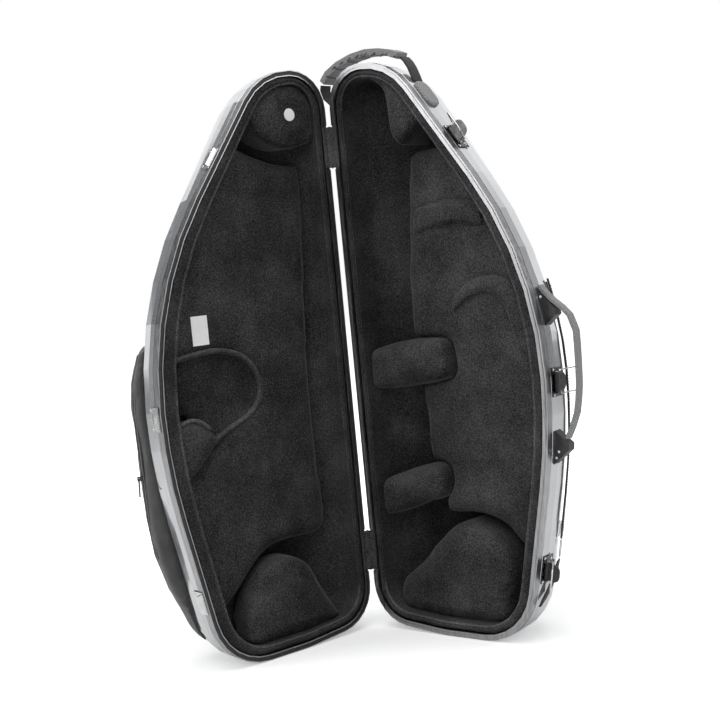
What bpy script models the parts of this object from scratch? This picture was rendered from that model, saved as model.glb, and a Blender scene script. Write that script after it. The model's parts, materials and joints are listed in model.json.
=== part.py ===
"""Tenor saxophone case, standing on its bottom end and open like a book.

The floor is z = 0, the origin lies under the middle of the open case's box, and the open halves
face -Y: the lid lies towards -X and the deeper base towards +X. Each half is modelled in its own
frame, in which X runs from the hinge axis across the case, Z runs up its length, and the depth
behind the rim plane is called w. w points away from the inside, along +Y in the base's frame and
along -Y in the lid's.
All sizes are metres.
"""
import math

import bmesh
import bpy
from mathutils import Matrix, Vector

# Overall sizes
CASE_LENGTH = 0.848
CASE_WIDTH = 0.334
SHAPE_LENGTH = 0.848      # the size that the shapes below were drawn for, and are scaled from
SHAPE_WIDTH = 0.334
LID_DEPTH = 0.100
BASE_DEPTH = 0.126
OPEN_ANGLE = math.radians(102)
HINGE_OFFSET = 0.004      # from the hinge axis to the walls on the hinge side
GAP = 0.0003              # between pieces that touch

# Outline of the rim: corners as shares of width and length, and how far each rounding reaches
OUTLINE_CORNERS = (
    (0.000, 0.014, 0.057),    # lower corner on the hinge side
    (0.374, 0.000, 0.007),    # start of the flat that the case stands on
    (0.808, 0.000, 0.075),    # lower fore corner
    (1.000, 0.356, 0.079),    # belly, below its widest place
    (1.000, 0.637, 0.159),    # belly, above its widest place
    (0.343, 1.000, 0.054),    # upper fore corner
    (0.000, 1.000, 0.058),    # upper corner on the hinge side
)
ARC_STEP = math.radians(15)
ARC_LENGTH = 0.075

# Shells
SHELL_WALL = 0.003
EDGE_STEP = 0.0019        # the shell's edge is stepped in by this much to seat in the rim
LID_STRAIGHT = 0.025      # depth of the straight wall before the back curves in
BASE_STRAIGHT = 0.030
LID_REACH = 0.095         # how far the curve takes the wall in
BASE_REACH = 0.130
FOOT_STRAIGHT = 0.062     # depth of the flat strip that the case stands on
FOOT_REACH = 0.045
CURVE_STEPS = 6

# Rims
RIM_FACE = 0.0004         # from the parting plane to the rim's face
RIM_WIDTH = 0.0085
RIM_HEIGHT = 0.012
RIM_LEG = 0.0016
BASE_RIM_FLOOR = 0.0021   # from the face to the bottom of the groove for the shell's edge
LID_RIM_FLOOR = 0.0040
TONGUE_INSET = 0.0030
TONGUE_WIDTH = 0.0020
TONGUE_HEIGHT = 0.0009
SEAL_INSET = 0.0013
SEAL_WIDTH = 0.0059
SEAL_BED = 0.0025
SEAL_SUNK = 0.0010        # the seal lies this far below the rim's face

# Lining
LINER_LIP = 0.0095
LINER_FACE = 0.0015
LINER_SHOULDER = 0.0030
SIDE_FOAM = 0.0185
LID_FORE_FOAM = 0.014     # how much thicker the lid's fore wall is
BASE_FORE_FOAM = 0.006
LID_FLOOR_FOAM = 0.030
BASE_FLOOR_FOAM = 0.026
LINER_BACK_GAP = 0.0024
PAD_GAP = 0.0006

# Hinges
HINGE_LENGTH = 0.060
HINGE_TOPS = {"lower": 0.179, "upper": 0.903}      # tops of the covers, as shares of the length
COVER_LENGTH = 0.064
COVER_WIDTH = 0.0115
COVER_THICKNESS = 0.0010
NOTCH_DEPTH = 0.0016
KNUCKLE_RADIUS = 0.0030
HINGE_PIN_RADIUS = 0.0015
LEAF_NEAR = 0.0025
LEAF_DEPTH = 0.024
LEAF_CLEAR = 0.0034
KNUCKLE_GAP = 0.0004

# Latches
LATCH_HEIGHTS = {"upper": 0.853, "middle": 0.440, "lower": 0.127}    # as shares of the length
LATCH_PIVOT = Vector((0.0200, 0.0, 0.0056))
PLATE_NEAR = 0.0142
PLATE_FAR = 0.0400
PLATE_LENGTH = 0.040
PLATE_THICKNESS = 0.0015
PLATE_LIFT = 0.0004
EAR_THICKNESS = 0.0020
EAR_LENGTH = 0.0090
EAR_HEIGHT = 0.0088
LATCH_PIN_RADIUS = 0.0015
LEVER_WIDTH = 0.0250
LEVER_THICKNESS = 0.0040
LEVER_LENGTH = 0.0220
LEVER_BARREL = 0.0034
LEVER_ROUND = 0.0090
BAIL_ARM = 0.0080
BAIL_REACH = 0.0380
BAIL_WIRE = 0.0011
BAIL_HALF_WIDTH = 0.0163
BAIL_PIN_END = 0.0100
LEVER_OPEN = math.radians(100)
BAIL_LIFTED = math.radians(150)
BAIL_FOLDED = math.radians(8)
KEEPER_LENGTH = 0.034
KEEPER_NEAR = 0.0030
KEEPER_FAR = 0.0240
KEEPER_RIDGE = 0.0030
KEEPER_HEIGHT = 0.0078
KEEPER_SLOT = 0.0150
KEEPER_SLOT_WIDTH = 0.0035

# Side handle on the fore wall. Paths are (height, distance out from the wall).
SIDE_HANDLE_W = 0.0265
SIDE_BOW_WIDTH = 0.0130
SIDE_BOW_THICKNESS = 0.0042
SIDE_BOW_PATH = (
    (0.505, 0.0030), (0.495, 0.0085), (0.483, 0.0165), (0.470, 0.0285), (0.457, 0.0370), (0.440, 0.0412),
    (0.420, 0.0400), (0.395, 0.0380), (0.370, 0.0362), (0.350, 0.0340), (0.332, 0.0310), (0.314, 0.0245),
    (0.297, 0.0175),
)
GUSSET_WIDTH = 0.0150
UPPER_GUSSET = ((0.503, -0.004), (0.500, 0.0020), (0.470, 0.0210), (0.462, 0.0205), (0.449, -0.004))
LOWER_GUSSET = ((0.309, -0.004), (0.290, 0.0225), (0.281, 0.0225), (0.254, -0.004))

# Top handle. Paths are (across, height above the case's top).
TOP_HANDLE_W = 0.0350
GRIP_WIDTH = 0.0260
GRIP_THICKNESS = 0.0098
GRIP_PATH = (
    (-0.0290, -0.0135), (-0.0180, -0.0020), (0.0040, 0.0085), (0.0310, 0.0152),
    (0.0570, 0.0175), (0.0820, 0.0148), (0.1020, 0.0095), (0.1160, 0.0035),
)
GRIP_NOTCHES = 7
NOTCH_CUT = 0.0032
NOTCH_WIDTH = 0.0030
TOP_STRAP_WIDTH = 0.0220
TOP_STRAP_THICKNESS = 0.0026
REAR_STRAP_PATH = (
    (-0.0318, -0.0170), (-0.0335, -0.0250), (-0.0290, -0.0380), (-0.0170, -0.0490), (-0.0060, -0.0560),
    (-0.0022, -0.0620), (-0.0022, -0.0780),
)
FORE_STRAP_PATH = (
    (0.1205, 0.0005), (0.1265, -0.0060), (0.1320, -0.0150), (0.1370, -0.0270), (0.1405, -0.0370),
)
PATCH_HEIGHTS = (0.909, 0.954)      # as shares of the length
PATCH_WIDTH = 0.030
PATCH_THICKNESS = 0.0050

# Pocket on the lid's back, and its zip. The profile is (in from the pocket's outline, depth).
POCKET_CORNERS = (
    (0.060, 0.030, 0.045), (0.256, 0.018, 0.040), (0.3245, 0.165, 0.060),
    (0.3305, 0.425, 0.050), (0.300, 0.486, 0.035), (0.070, 0.470, 0.050),
)
POCKET_PROFILE = (
    (0.0160, 0.054), (0.0020, 0.063), (0.0005, 0.072), (0.0065, 0.096), (0.0180, 0.112), (0.0330, 0.122),
    (0.0560, 0.128),
)
ZIP_ENDS = (0.120, 0.468)
ZIP_NEAR = 0.0765
ZIP_FAR = 0.0915
ZIP_TAPE_THICKNESS = 0.0012
SLIDER_HEIGHT = 0.285
SLIDER_SIZE = (0.0110, 0.0085, 0.0036)
PULLER_LENGTH = 0.026
PULLER_WIDTH = 0.0046
PULLER_THICKNESS = 0.0014

# Strap along the base's fore shoulder: (height, near edge's depth, far edge's depth)
STRAP_STATIONS = (
    (0.512, 0.058, 0.080), (0.470, 0.058, 0.080), (0.425, 0.058, 0.080), (0.385, 0.058, 0.080),
    (0.340, 0.058, 0.080), (0.300, 0.058, 0.080), (0.255, 0.058, 0.080), (0.210, 0.058, 0.080),
    (0.170, 0.058, 0.080), (0.144, 0.060, 0.078),
)
TAIL_STATIONS = ((0.112, 0.054, 0.071), (0.098, 0.044, 0.060), (0.080, 0.030, 0.044), (0.066, 0.019, 0.030),
                 (0.056, 0.014, 0.018))
STRAP_THICKNESS = 0.0026
STRAP_STAND = 0.0034      # how far the strap stands off the shell
RING_WIRE = 0.0013


def clear_scene():
    for obj in list(bpy.data.objects):
        bpy.data.objects.remove(obj, do_unlink=True)


def new_collection(name, hidden=False):
    collection = bpy.data.collections.new(name)
    bpy.context.scene.collection.children.link(collection)
    collection.hide_render = hidden
    return collection


clear_scene()
PARTS = new_collection("tenor_saxophone_case")
CUTTERS = new_collection("cutters", hidden=True)


def material(name, colour, roughness, metallic=0.0):
    made = bpy.data.materials.new(name)
    made.use_nodes = True
    shader = made.node_tree.nodes["Principled BSDF"]
    shader.inputs["Base Color"].default_value = (*colour, 1.0)
    shader.inputs["Roughness"].default_value = roughness
    shader.inputs["Metallic"].default_value = metallic
    return made


SILVER = material("silver_laminate", (0.62, 0.63, 0.65), 0.18, 0.6)
ALUMINIUM = material("aluminium", (0.78, 0.78, 0.79), 0.30, 1.0)
RUBBER = material("black_rubber", (0.02, 0.02, 0.02), 0.55)
PLUSH = material("black_plush", (0.020, 0.020, 0.021), 0.95)
PLASTIC = material("black_plastic", (0.03, 0.03, 0.03), 0.40)
STEEL = material("bright_steel", (0.72, 0.72, 0.72), 0.22, 1.0)
WEB = material("black_webbing", (0.025, 0.025, 0.027), 0.85)
FABRIC = material("pocket_fabric", (0.035, 0.035, 0.038), 0.80)
WHITE = material("white_label", (0.86, 0.86, 0.86), 0.60)


# Frames and placing

def empty(name, parent=None, matrix=None):
    made = bpy.data.objects.new(name, None)
    PARTS.objects.link(made)
    made.parent = parent
    if matrix is not None:
        made.matrix_local = matrix
    return made


def add_object(name, mesh, skin, parent, collection=None):
    obj = bpy.data.objects.new(name, mesh)
    (collection or PARTS).objects.link(obj)
    obj.parent = parent
    if skin is not None:
        mesh.materials.append(skin)
    if collection is CUTTERS:
        obj.hide_render = True
        obj.display_type = "WIRE"
    return obj


def mesh_from(bm, name, smooth=False):
    bmesh.ops.remove_doubles(bm, verts=bm.verts, dist=1e-6)
    bmesh.ops.recalc_face_normals(bm, faces=bm.faces)
    mesh = bpy.data.meshes.new(name)
    bm.to_mesh(mesh)
    bm.free()
    if smooth:
        mesh.shade_smooth()
        mesh.set_sharp_from_angle(angle=math.radians(35))
    return mesh


def boolean(obj, cutter, operation="DIFFERENCE"):
    cut = obj.modifiers.new(f"{operation.lower()}_{cutter.name}", "BOOLEAN")
    cut.object = cutter
    cut.operation = operation
    cut.solver = "EXACT"


def bevel(obj, width, segments=2, angle=40):
    rounded_edges = obj.modifiers.new("rounded_edges", "BEVEL")
    rounded_edges.width = width
    rounded_edges.segments = segments
    rounded_edges.limit_method = "ANGLE"
    rounded_edges.angle_limit = math.radians(angle)


def box(name, low, high, skin, parent, collection=None):
    bm = bmesh.new()
    bmesh.ops.create_cube(bm, size=1.0)
    low, high = Vector(low), Vector(high)
    size, middle = high - low, (high + low) / 2
    bmesh.ops.transform(bm, matrix=Matrix.Translation(middle) @ Matrix.Diagonal((*size, 1)), verts=bm.verts)
    return add_object(name, mesh_from(bm, name), skin, parent, collection)


def rod(name, start, end, radius, skin, parent, collection=None, sides=14):
    start, end = Vector(start), Vector(end)
    along = end - start
    turn = along.to_track_quat("Z", "Y").to_matrix().to_4x4()
    bm = bmesh.new()
    size = {"radius1": radius, "radius2": radius, "depth": along.length}
    bmesh.ops.create_cone(bm, cap_ends=True, segments=sides, **size)
    bmesh.ops.transform(bm, matrix=Matrix.Translation((start + end) / 2) @ turn, verts=bm.verts)
    return add_object(name, mesh_from(bm, name, smooth=True), skin, parent, collection)


def loft(name, rings, skin, parent, collection=None, closed=False, open_start=False, smooth=True):
    """Joins rings of equally many points with faces. The ends are capped, or the last meets the first."""
    bm = bmesh.new()
    rows = [[bm.verts.new(point) for point in ring] for ring in rings]
    pairs = list(zip(rows, rows[1:] + rows[:1])) if closed else list(zip(rows, rows[1:]))
    for a, b in pairs:
        for i in range(len(a)):
            j = (i + 1) % len(a)
            bm.faces.new((a[i], a[j], b[j], b[i]))
    if not closed:
        bm.faces.new(rows[-1])
        if not open_start:
            bm.faces.new(rows[0])
    return add_object(name, mesh_from(bm, name, smooth), skin, parent, collection)


def prism(name, outline, depth_from, depth_to, side, skin, parent, collection=None):
    """A flat outline in the rim plane, drawn out along the depth."""
    rings = [[place(side, point, w) for point in outline] for w in (depth_from, depth_to)]
    return loft(name, rings, skin, parent, collection)


# Outlines in the rim plane

def rounded(corners, step=ARC_STEP, longest=ARC_LENGTH):
    """Rounds a polygon's corners with arcs: [(point, outward normal)], anticlockwise. A corner's last
    number is how far along its two sides the arc reaches; two that meet share their side."""
    found = []
    count = len(corners)
    for i, (u, z, reach) in enumerate(corners):
        here = Vector((u, z))
        inward = here - Vector(corners[i - 1][:2])
        onward = Vector(corners[(i + 1) % count][:2]) - here
        for side, other in ((inward, corners[i - 1][2]), (onward, corners[(i + 1) % count][2])):
            if reach + other > side.length:
                reach = min(reach, side.length * reach / (reach + other))
        turn = math.atan2(inward.x * onward.y - inward.y * onward.x, inward.dot(onward))
        bend = 1 if turn > 0 else -1
        radius = reach / math.tan(abs(turn) / 2)
        normal = Vector((inward.y, -inward.x)).normalized()
        centre = here - inward.normalized() * reach - bend * normal * radius
        steps = max(1, math.ceil(abs(turn) / step), math.ceil(radius * abs(turn) / longest))
        for k in range(steps + 1):
            spoke = normal.copy()
            spoke.rotate(Matrix.Rotation(turn * k / steps, 2))
            found.append((centre + bend * spoke * radius, spoke))
    return found


def inset(outline, distance):
    return [point - normal * distance for point, normal in outline]


def deepest_inset(outline, distance):
    """The distance, or as much of it as the outline's tightest outer corner leaves room for."""
    while any(
        (b[0] - a[0]).length > 1e-7 and ((b[0] - b[1] * distance) - (a[0] - a[1] * distance)).dot(b[0] - a[0]) <= 0
        for a, b in zip(outline, outline[1:])
    ):
        distance *= 0.85
    return distance


def place(side, point, w):
    return Vector((point[0] + HINGE_OFFSET, side * w, point[1]))


OUTLINE = rounded([(u * CASE_WIDTH, z * CASE_LENGTH, reach) for u, z, reach in OUTLINE_CORNERS])


def drawn_in(points, hinge, fore, bottom, top):
    """Fits points of the full outline into a box that is smaller by these four insets."""
    across = (CASE_WIDTH - hinge - fore) / CASE_WIDTH
    along = (CASE_LENGTH - bottom - top) / CASE_LENGTH
    return [Vector((hinge + p[0] * across, bottom + p[1] * along)) for p in points]


def curve_inset(w, straight, depth, reach):
    """How far a wall that is straight and then bends in like a quarter ellipse has come in at depth w."""
    if w <= straight:
        return 0.0
    share = min(1.0, (w - straight) / (depth - straight))
    return reach * (1 - math.sqrt(1 - share * share))


class Half:
    """One half of the case: its side (+1 base, -1 lid), depth and the frame it is built in."""

    def __init__(self, name, side, depth, straight, reach, rim_floor, fore_foam, floor_foam, frame):
        self.name = name
        self.rim_floor = rim_floor
        self.fore_foam = fore_foam
        self.side = side
        self.depth = depth
        self.straight = straight
        self.reach = reach
        self.floor_foam = floor_foam
        self.frame = frame

    def ring(self, w, wall=0.0, floor=0.0, fore=0.0):
        """The outer surface's outline at depth w, or that of a surface inside it by wall and floor. A
        thicker fore wall takes fore off its fore side too."""
        depth = self.depth - floor
        foot = min(FOOT_STRAIGHT, depth - 0.02)
        side = curve_inset(w, self.straight, depth, self.reach - wall)
        bottom = curve_inset(w, foot, depth, max(FOOT_REACH - wall, 0.01))
        return drawn_in(inset(OUTLINE, wall), side, side + fore, bottom, side)

    def depths(self, floor=0.0, steps=CURVE_STEPS):
        depth = self.depth - floor
        rise = depth - self.straight
        return [self.straight + rise * math.sin(math.pi / 2 * k / steps) for k in range(steps + 1)]

    def place(self, point, w):
        return place(self.side, point, w)

    def body(self, clear):
        """The whole half as a solid, larger by clear all round: it trims what is mounted on the shell."""
        rings = [(-0.004, inset(OUTLINE, -clear))]
        rings += [(w, self.ring(w, -clear, -clear)) for w in self.depths(-clear)]
        placed = [[self.place(p, w) for p in points] for w, points in rings]
        return loft(f"{self.name}_body", placed, None, self.frame, CUTTERS)


STAND = empty("stand_frame")
BASE_FRAME = empty("base_frame", STAND, matrix=Matrix.Rotation(-(math.pi - OPEN_ANGLE) / 2, 4, "Z"))
LID_FRAME = empty("lid_frame", STAND, matrix=Matrix.Rotation(math.pi + (math.pi - OPEN_ANGLE) / 2, 4, "Z"))
BASE = Half(
    "base", 1, BASE_DEPTH, BASE_STRAIGHT, BASE_REACH, BASE_RIM_FLOOR, BASE_FORE_FOAM, BASE_FLOOR_FOAM,
    BASE_FRAME,
)
LID = Half(
    "lid", -1, LID_DEPTH, LID_STRAIGHT, LID_REACH, LID_RIM_FLOOR, LID_FORE_FOAM, LID_FLOOR_FOAM, LID_FRAME
)


# Shells, rims and lining

RIM_BACK = RIM_FACE + RIM_HEIGHT


def shell(half):
    """The moulded wall: an open surface, stepped in at its edge, thickened inwards."""
    edge = inset(OUTLINE, EDGE_STEP)
    start = RIM_FACE + half.rim_floor + GAP
    rings = [(start, edge), (RIM_BACK + GAP, edge), (RIM_BACK + 5 * GAP, inset(OUTLINE, 0))]
    rings += [(w, half.ring(w)) for w in half.depths()]
    bm = bmesh.new()
    rows = [[bm.verts.new(half.place(p, w)) for p in points] for w, points in rings]
    for a, b in zip(rows, rows[1:]):
        for i in range(len(a)):
            j = (i + 1) % len(a)
            bm.faces.new((a[i], a[j], b[j], b[i]))
    back = bm.faces.new(rows[-1])
    bmesh.ops.recalc_face_normals(bm, faces=bm.faces)
    back.normal_update()
    if back.normal.y * half.side < 0:
        bmesh.ops.reverse_faces(bm, faces=bm.faces)
    mesh = bpy.data.meshes.new(f"{half.name}_shell")
    bm.to_mesh(mesh)
    bm.free()
    mesh.shade_smooth()
    obj = add_object(f"{half.name}_shell", mesh, SILVER, half.frame)
    wall = obj.modifiers.new("wall", "SOLIDIFY")
    wall.thickness = SHELL_WALL
    wall.offset = -1
    wall.use_even_offset = True
    return obj


def rim_section(half):
    """The channel that holds the shell's edge. The base's face has a tongue, the lid's a groove."""
    channel = RIM_FACE + half.rim_floor
    inner = EDGE_STEP + SHELL_WALL + 2 * GAP
    face = [(0.0, RIM_FACE)]
    if half is BASE:
        far = TONGUE_INSET + TONGUE_WIDTH
        tip = RIM_FACE - TONGUE_HEIGHT
        face += [(TONGUE_INSET, RIM_FACE), (TONGUE_INSET, tip), (far, tip), (far, RIM_FACE)]
    else:
        far = SEAL_INSET + SEAL_WIDTH
        bed = RIM_FACE + SEAL_BED
        face += [(SEAL_INSET, RIM_FACE), (SEAL_INSET, bed), (far, bed), (far, RIM_FACE)]
    face += [(RIM_WIDTH, RIM_FACE), (RIM_WIDTH, RIM_BACK), (inner, RIM_BACK), (inner, channel)]
    return face + [(RIM_LEG, channel), (RIM_LEG, RIM_BACK), (0.0, RIM_BACK)]


def hollow_rings(half, gap=0.0):
    """The space that the lining leaves for the instrument, smaller all round by gap."""
    wall = SIDE_FOAM + gap
    depths = half.depths(half.floor_foam + gap, 5)
    depths[0] = min(depths[0], half.straight)
    return [(w, half.ring(w, wall, half.floor_foam + gap, half.fore_foam)) for w in depths]


def liner(half):
    """Moulded foam under plush: it fills the shell's wall and floor, and leaves the instrument's hollow."""
    back_wall = SHELL_WALL + LINER_BACK_GAP
    lip = RIM_WIDTH + 2 * GAP
    outer = [(LINER_FACE, inset(OUTLINE, lip)), (RIM_BACK + 0.0032, inset(OUTLINE, lip))]
    outer.append((RIM_BACK + 0.0062, inset(OUTLINE, back_wall)))
    outer += [(w, half.ring(w, back_wall, back_wall)) for w in half.depths(back_wall)]
    edge = drawn_in(inset(OUTLINE, lip + LINER_LIP), 0, half.fore_foam * 0.6, 0, 0)
    shoulder = drawn_in(inset(OUTLINE, SIDE_FOAM - GAP), 0, half.fore_foam * 0.9, 0, 0)
    inner = [(LINER_FACE, edge), (LINER_FACE + LINER_SHOULDER, shoulder)] + hollow_rings(half)
    placed = [[half.place(p, w) for p in points] for w, points in list(reversed(outer)) + inner]
    return loft(f"{half.name}_liner", placed, PLUSH, half.frame)


def hollow(half):
    """The hollow less a gap: the foam blocks are cut to it, so their backs follow the lining."""
    start = [(LINER_FACE - 0.0005, half.ring(half.straight, SIDE_FOAM + PAD_GAP, 0.0, half.fore_foam))]
    placed = [[half.place(p, w) for p in points] for w, points in start + hollow_rings(half, PAD_GAP)]
    return loft(f"{half.name}_hollow", placed, None, half.frame, CUTTERS)


def scaled(corners):
    """Places drawn for the nominal case, carried to the case's own width and length."""
    across = CASE_WIDTH / SHAPE_WIDTH
    along = CASE_LENGTH / SHAPE_LENGTH
    return [(c[0] * across, c[1] * along, *c[2:]) for c in corners]


def pad(name, half, corners, front, room, crown=0.003, roll=0.010, back=None):
    """A foam block under plush: crowned face, rolled edges, sides drawn in a little towards the back."""
    outline = rounded(scaled(corners), math.radians(24), 0.070)
    back = back or half.depth - SHELL_WALL
    crowned = deepest_inset(outline, roll * 1.6)
    profile = ((0.001, back), (0.000, front + crown + roll), (crowned * 0.15, front + crown + roll * 0.35))
    profile += ((crowned * 0.45, front + crown * 0.8), (crowned, front))
    rings = [[half.place(p, w) for p in inset(outline, across)] for across, w in profile]
    obj = loft(name, rings, PLUSH, half.frame)
    boolean(obj, room, "INTERSECT")
    return obj


def cut_around(obj, half, corners, clear=0.001):
    """Takes a block's outline, a little larger, out of another block, through its whole depth."""
    outline = rounded(scaled(corners), math.radians(24), 0.070)
    wider = inset(outline, -clear)
    cutter = prism(f"{obj.name}_cut", wider, 0.002, half.depth, half.side, None, half.frame, CUTTERS)
    boolean(obj, cutter)


def build_shells_and_rims():
    made = []
    for half in (BASE, LID):
        shell(half)
        rings = [[half.place(p, w) for p in inset(OUTLINE, across)] for across, w in rim_section(half)]
        made.append((loft(f"{half.name}_rim", rings, ALUMINIUM, half.frame, closed=True), half))
    near, far = SEAL_INSET + GAP, SEAL_INSET + SEAL_WIDTH - GAP
    top, bed = RIM_FACE + SEAL_SUNK, RIM_FACE + SEAL_BED - GAP
    section = ((near, top), (far, top), (far, bed), (near, bed))
    rings = [[LID.place(p, w) for p in inset(OUTLINE, across)] for across, w in section]
    made.append((loft("lid_seal", rings, RUBBER, LID_FRAME, closed=True), LID))
    for obj, half in made:
        for where, top in HINGE_TOPS.items():
            high = top * CASE_LENGTH + 0.0006
            low = high - COVER_LENGTH - 0.0012
            depth = RIM_FACE + NOTCH_DEPTH
            sides = sorted((half.side * -0.004, half.side * depth))
            lowest = (HINGE_OFFSET - 0.002, sides[0], low)
            highest = (HINGE_OFFSET + RIM_WIDTH + 0.002, sides[1], high)
            boolean(obj, box(f"{obj.name}_{where}_notch", lowest, highest, None, half.frame, CUTTERS))


# Foam blocks in the lining

LID_FLOOR = (
    (0.022, 0.722, 0.010), (0.024, 0.640, 0.030), (0.046, 0.400, 0.100), (0.038, 0.152, 0.020),
    (0.152, 0.154, 0.030), (0.226, 0.080, 0.030), (0.300, 0.030, 0.008), (0.380, 0.300, 0.030),
    (0.360, 0.560, 0.030), (0.230, 0.800, 0.008), (0.150, 0.752, 0.015), (0.118, 0.736, 0.015),
    (0.061, 0.716, 0.020),
)
LID_TOP = (
    (-0.020, 0.750, 0.030), (0.022, 0.744, 0.012), (0.066, 0.732, 0.020), (0.114, 0.750, 0.018),
    (0.136, 0.788, 0.008), (0.190, 0.800, 0.008), (0.120, 0.900, 0.030), (-0.020, 0.900, 0.030),
)
LID_HEEL = (
    (0.030, -0.030, 0.030), (0.216, -0.030, 0.030), (0.216, 0.062, 0.030), (0.180, 0.128, 0.020),
    (0.140, 0.143, 0.020), (0.096, 0.124, 0.018), (0.064, 0.062, 0.020), (0.040, 0.025, 0.010),
)
BELL_RECESS = (
    (0.152, 0.360, 0.010), (0.210, 0.336, 0.020), (0.244, 0.300, 0.015), (0.276, 0.279, 0.010),
    (0.380, 0.262, 0.030), (0.380, 0.400, 0.030), (0.262, 0.450, 0.020), (0.210, 0.456, 0.015),
    (0.158, 0.440, 0.020), (0.136, 0.396, 0.020),
)
LID_WEDGE = (
    (0.231, 0.329, 0.008), (0.256, 0.303, 0.012), (0.279, 0.282, 0.008), (0.380, 0.270, 0.030),
    (0.380, 0.362, 0.030), (0.302, 0.359, 0.008), (0.276, 0.364, 0.012), (0.254, 0.352, 0.010),
)
BASE_FLOOR = (
    (0.106, 0.716, 0.010), (0.094, 0.640, 0.040), (0.077, 0.460, 0.080), (0.094, 0.360, 0.040),
    (0.092, 0.256, 0.030), (0.118, 0.200, 0.020), (0.117, 0.169, 0.008), (0.150, 0.175, 0.010),
    (0.190, 0.173, 0.012), (0.228, 0.158, 0.020), (0.252, 0.124, 0.020), (0.380, 0.060, 0.030),
    (0.380, 0.600, 0.030), (0.260, 0.716, 0.008),
)
BASE_TOP = (
    (0.095, 0.735, 0.008), (0.112, 0.719, 0.008), (0.130, 0.738, 0.008), (0.149, 0.752, 0.008),
    (0.200, 0.790, 0.008), (0.130, 0.900, 0.030), (0.056, 0.900, 0.030), (0.058, 0.826, 0.008),
    (0.088, 0.812, 0.010),
)
BASE_LEDGE_UPPER = (
    (-0.020, 0.360, 0.030), (0.040, 0.366, 0.010), (0.152, 0.378, 0.010), (0.159, 0.394, 0.008),
    (0.151, 0.438, 0.010), (0.090, 0.438, 0.010), (0.034, 0.428, 0.010), (-0.020, 0.424, 0.030),
)
BASE_LEDGE_LOWER = (
    (-0.020, 0.160, 0.030), (0.028, 0.170, 0.010), (0.096, 0.197, 0.010), (0.130, 0.201, 0.010),
    (0.136, 0.240, 0.010), (0.120, 0.254, 0.010), (0.062, 0.238, 0.010), (-0.020, 0.216, 0.030),
)
BASE_BOW = (
    (0.012, -0.030, 0.030), (0.222, -0.030, 0.030), (0.226, 0.040, 0.020), (0.245, 0.108, 0.030),
    (0.212, 0.154, 0.024), (0.152, 0.169, 0.020), (0.106, 0.138, 0.020), (0.076, 0.100, 0.015),
    (0.030, 0.070, 0.010),
)
BASE_KEY = (
    (0.106, 0.590, 0.010), (0.170, 0.600, 0.020), (0.236, 0.592, 0.010), (0.228, 0.634, 0.010),
    (0.170, 0.646, 0.030), (0.110, 0.632, 0.012),
)
BASE_BULGE = (
    (0.160, 0.470, 0.012), (0.196, 0.496, 0.020), (0.230, 0.500, 0.012), (0.256, 0.478, 0.012),
    (0.276, 0.410, 0.010), (0.300, 0.410, 0.008), (0.296, 0.492, 0.020), (0.262, 0.528, 0.020),
    (0.206, 0.528, 0.020), (0.168, 0.500, 0.010),
)


def build_lining():
    base_room, lid_room = hollow(BASE), hollow(LID)
    for half in (BASE, LID):
        liner(half)
    floor = pad("lid_floor_pad", LID, LID_FLOOR, 0.036, lid_room, crown=0.005, roll=0.016)
    recess = inset(rounded(scaled(BELL_RECESS), math.radians(24), 0.070), 0)
    boolean(floor, prism("bell_recess", recess, 0.020, 0.054, -1, None, LID_FRAME, CUTTERS))
    cut_around(floor, LID, LID_WEDGE)
    pad("lid_wedge_pad", LID, LID_WEDGE, 0.014, lid_room, crown=0.002, roll=0.003)
    pad("lid_top_pad", LID, LID_TOP, 0.009, lid_room, crown=0.002, roll=0.008)
    pad("lid_heel_pad", LID, LID_HEEL, 0.016, lid_room)
    floor = pad("base_floor_pad", BASE, BASE_FLOOR, 0.038, base_room, roll=0.012)
    cut_around(floor, BASE, BASE_LEDGE_UPPER)
    cut_around(floor, BASE, BASE_LEDGE_LOWER)
    pad("base_top_pad", BASE, BASE_TOP, 0.013, base_room, roll=0.007)
    pad("base_ledge_upper", BASE, BASE_LEDGE_UPPER, 0.016, base_room)
    pad("base_ledge_lower", BASE, BASE_LEDGE_LOWER, 0.017, base_room)
    pad("base_bow_pad", BASE, BASE_BOW, 0.021, base_room, roll=0.014)
    rest = 0.038 - GAP
    pad("base_key_pad", BASE, BASE_KEY, 0.031, base_room, crown=0.001, roll=0.003, back=rest)
    pad("base_bulge", BASE, BASE_BULGE, 0.028, base_room, crown=0.001, roll=0.004, back=rest)
    across, along = CASE_WIDTH / SHAPE_WIDTH, CASE_LENGTH / SHAPE_LENGTH
    stud_at = Vector((0.062 * across + HINGE_OFFSET, 0, 0.784 * along))
    depth = 0.009 - GAP
    ends = (stud_at - Vector((0, depth, 0)), stud_at - Vector((0, depth - 0.0024, 0)))
    stud = rod("lid_stud", *ends, 0.0095, WHITE, LID_FRAME)
    bevel(stud, 0.0012)
    low = (0.222 * across + HINGE_OFFSET, -(0.036 - GAP), 0.464 * along)
    high = (0.249 * across + HINGE_OFFSET, -(0.036 - GAP - 0.0006), 0.506 * along)
    box("lid_label", low, high, WHITE, LID_FRAME)


# Hinges

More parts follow.
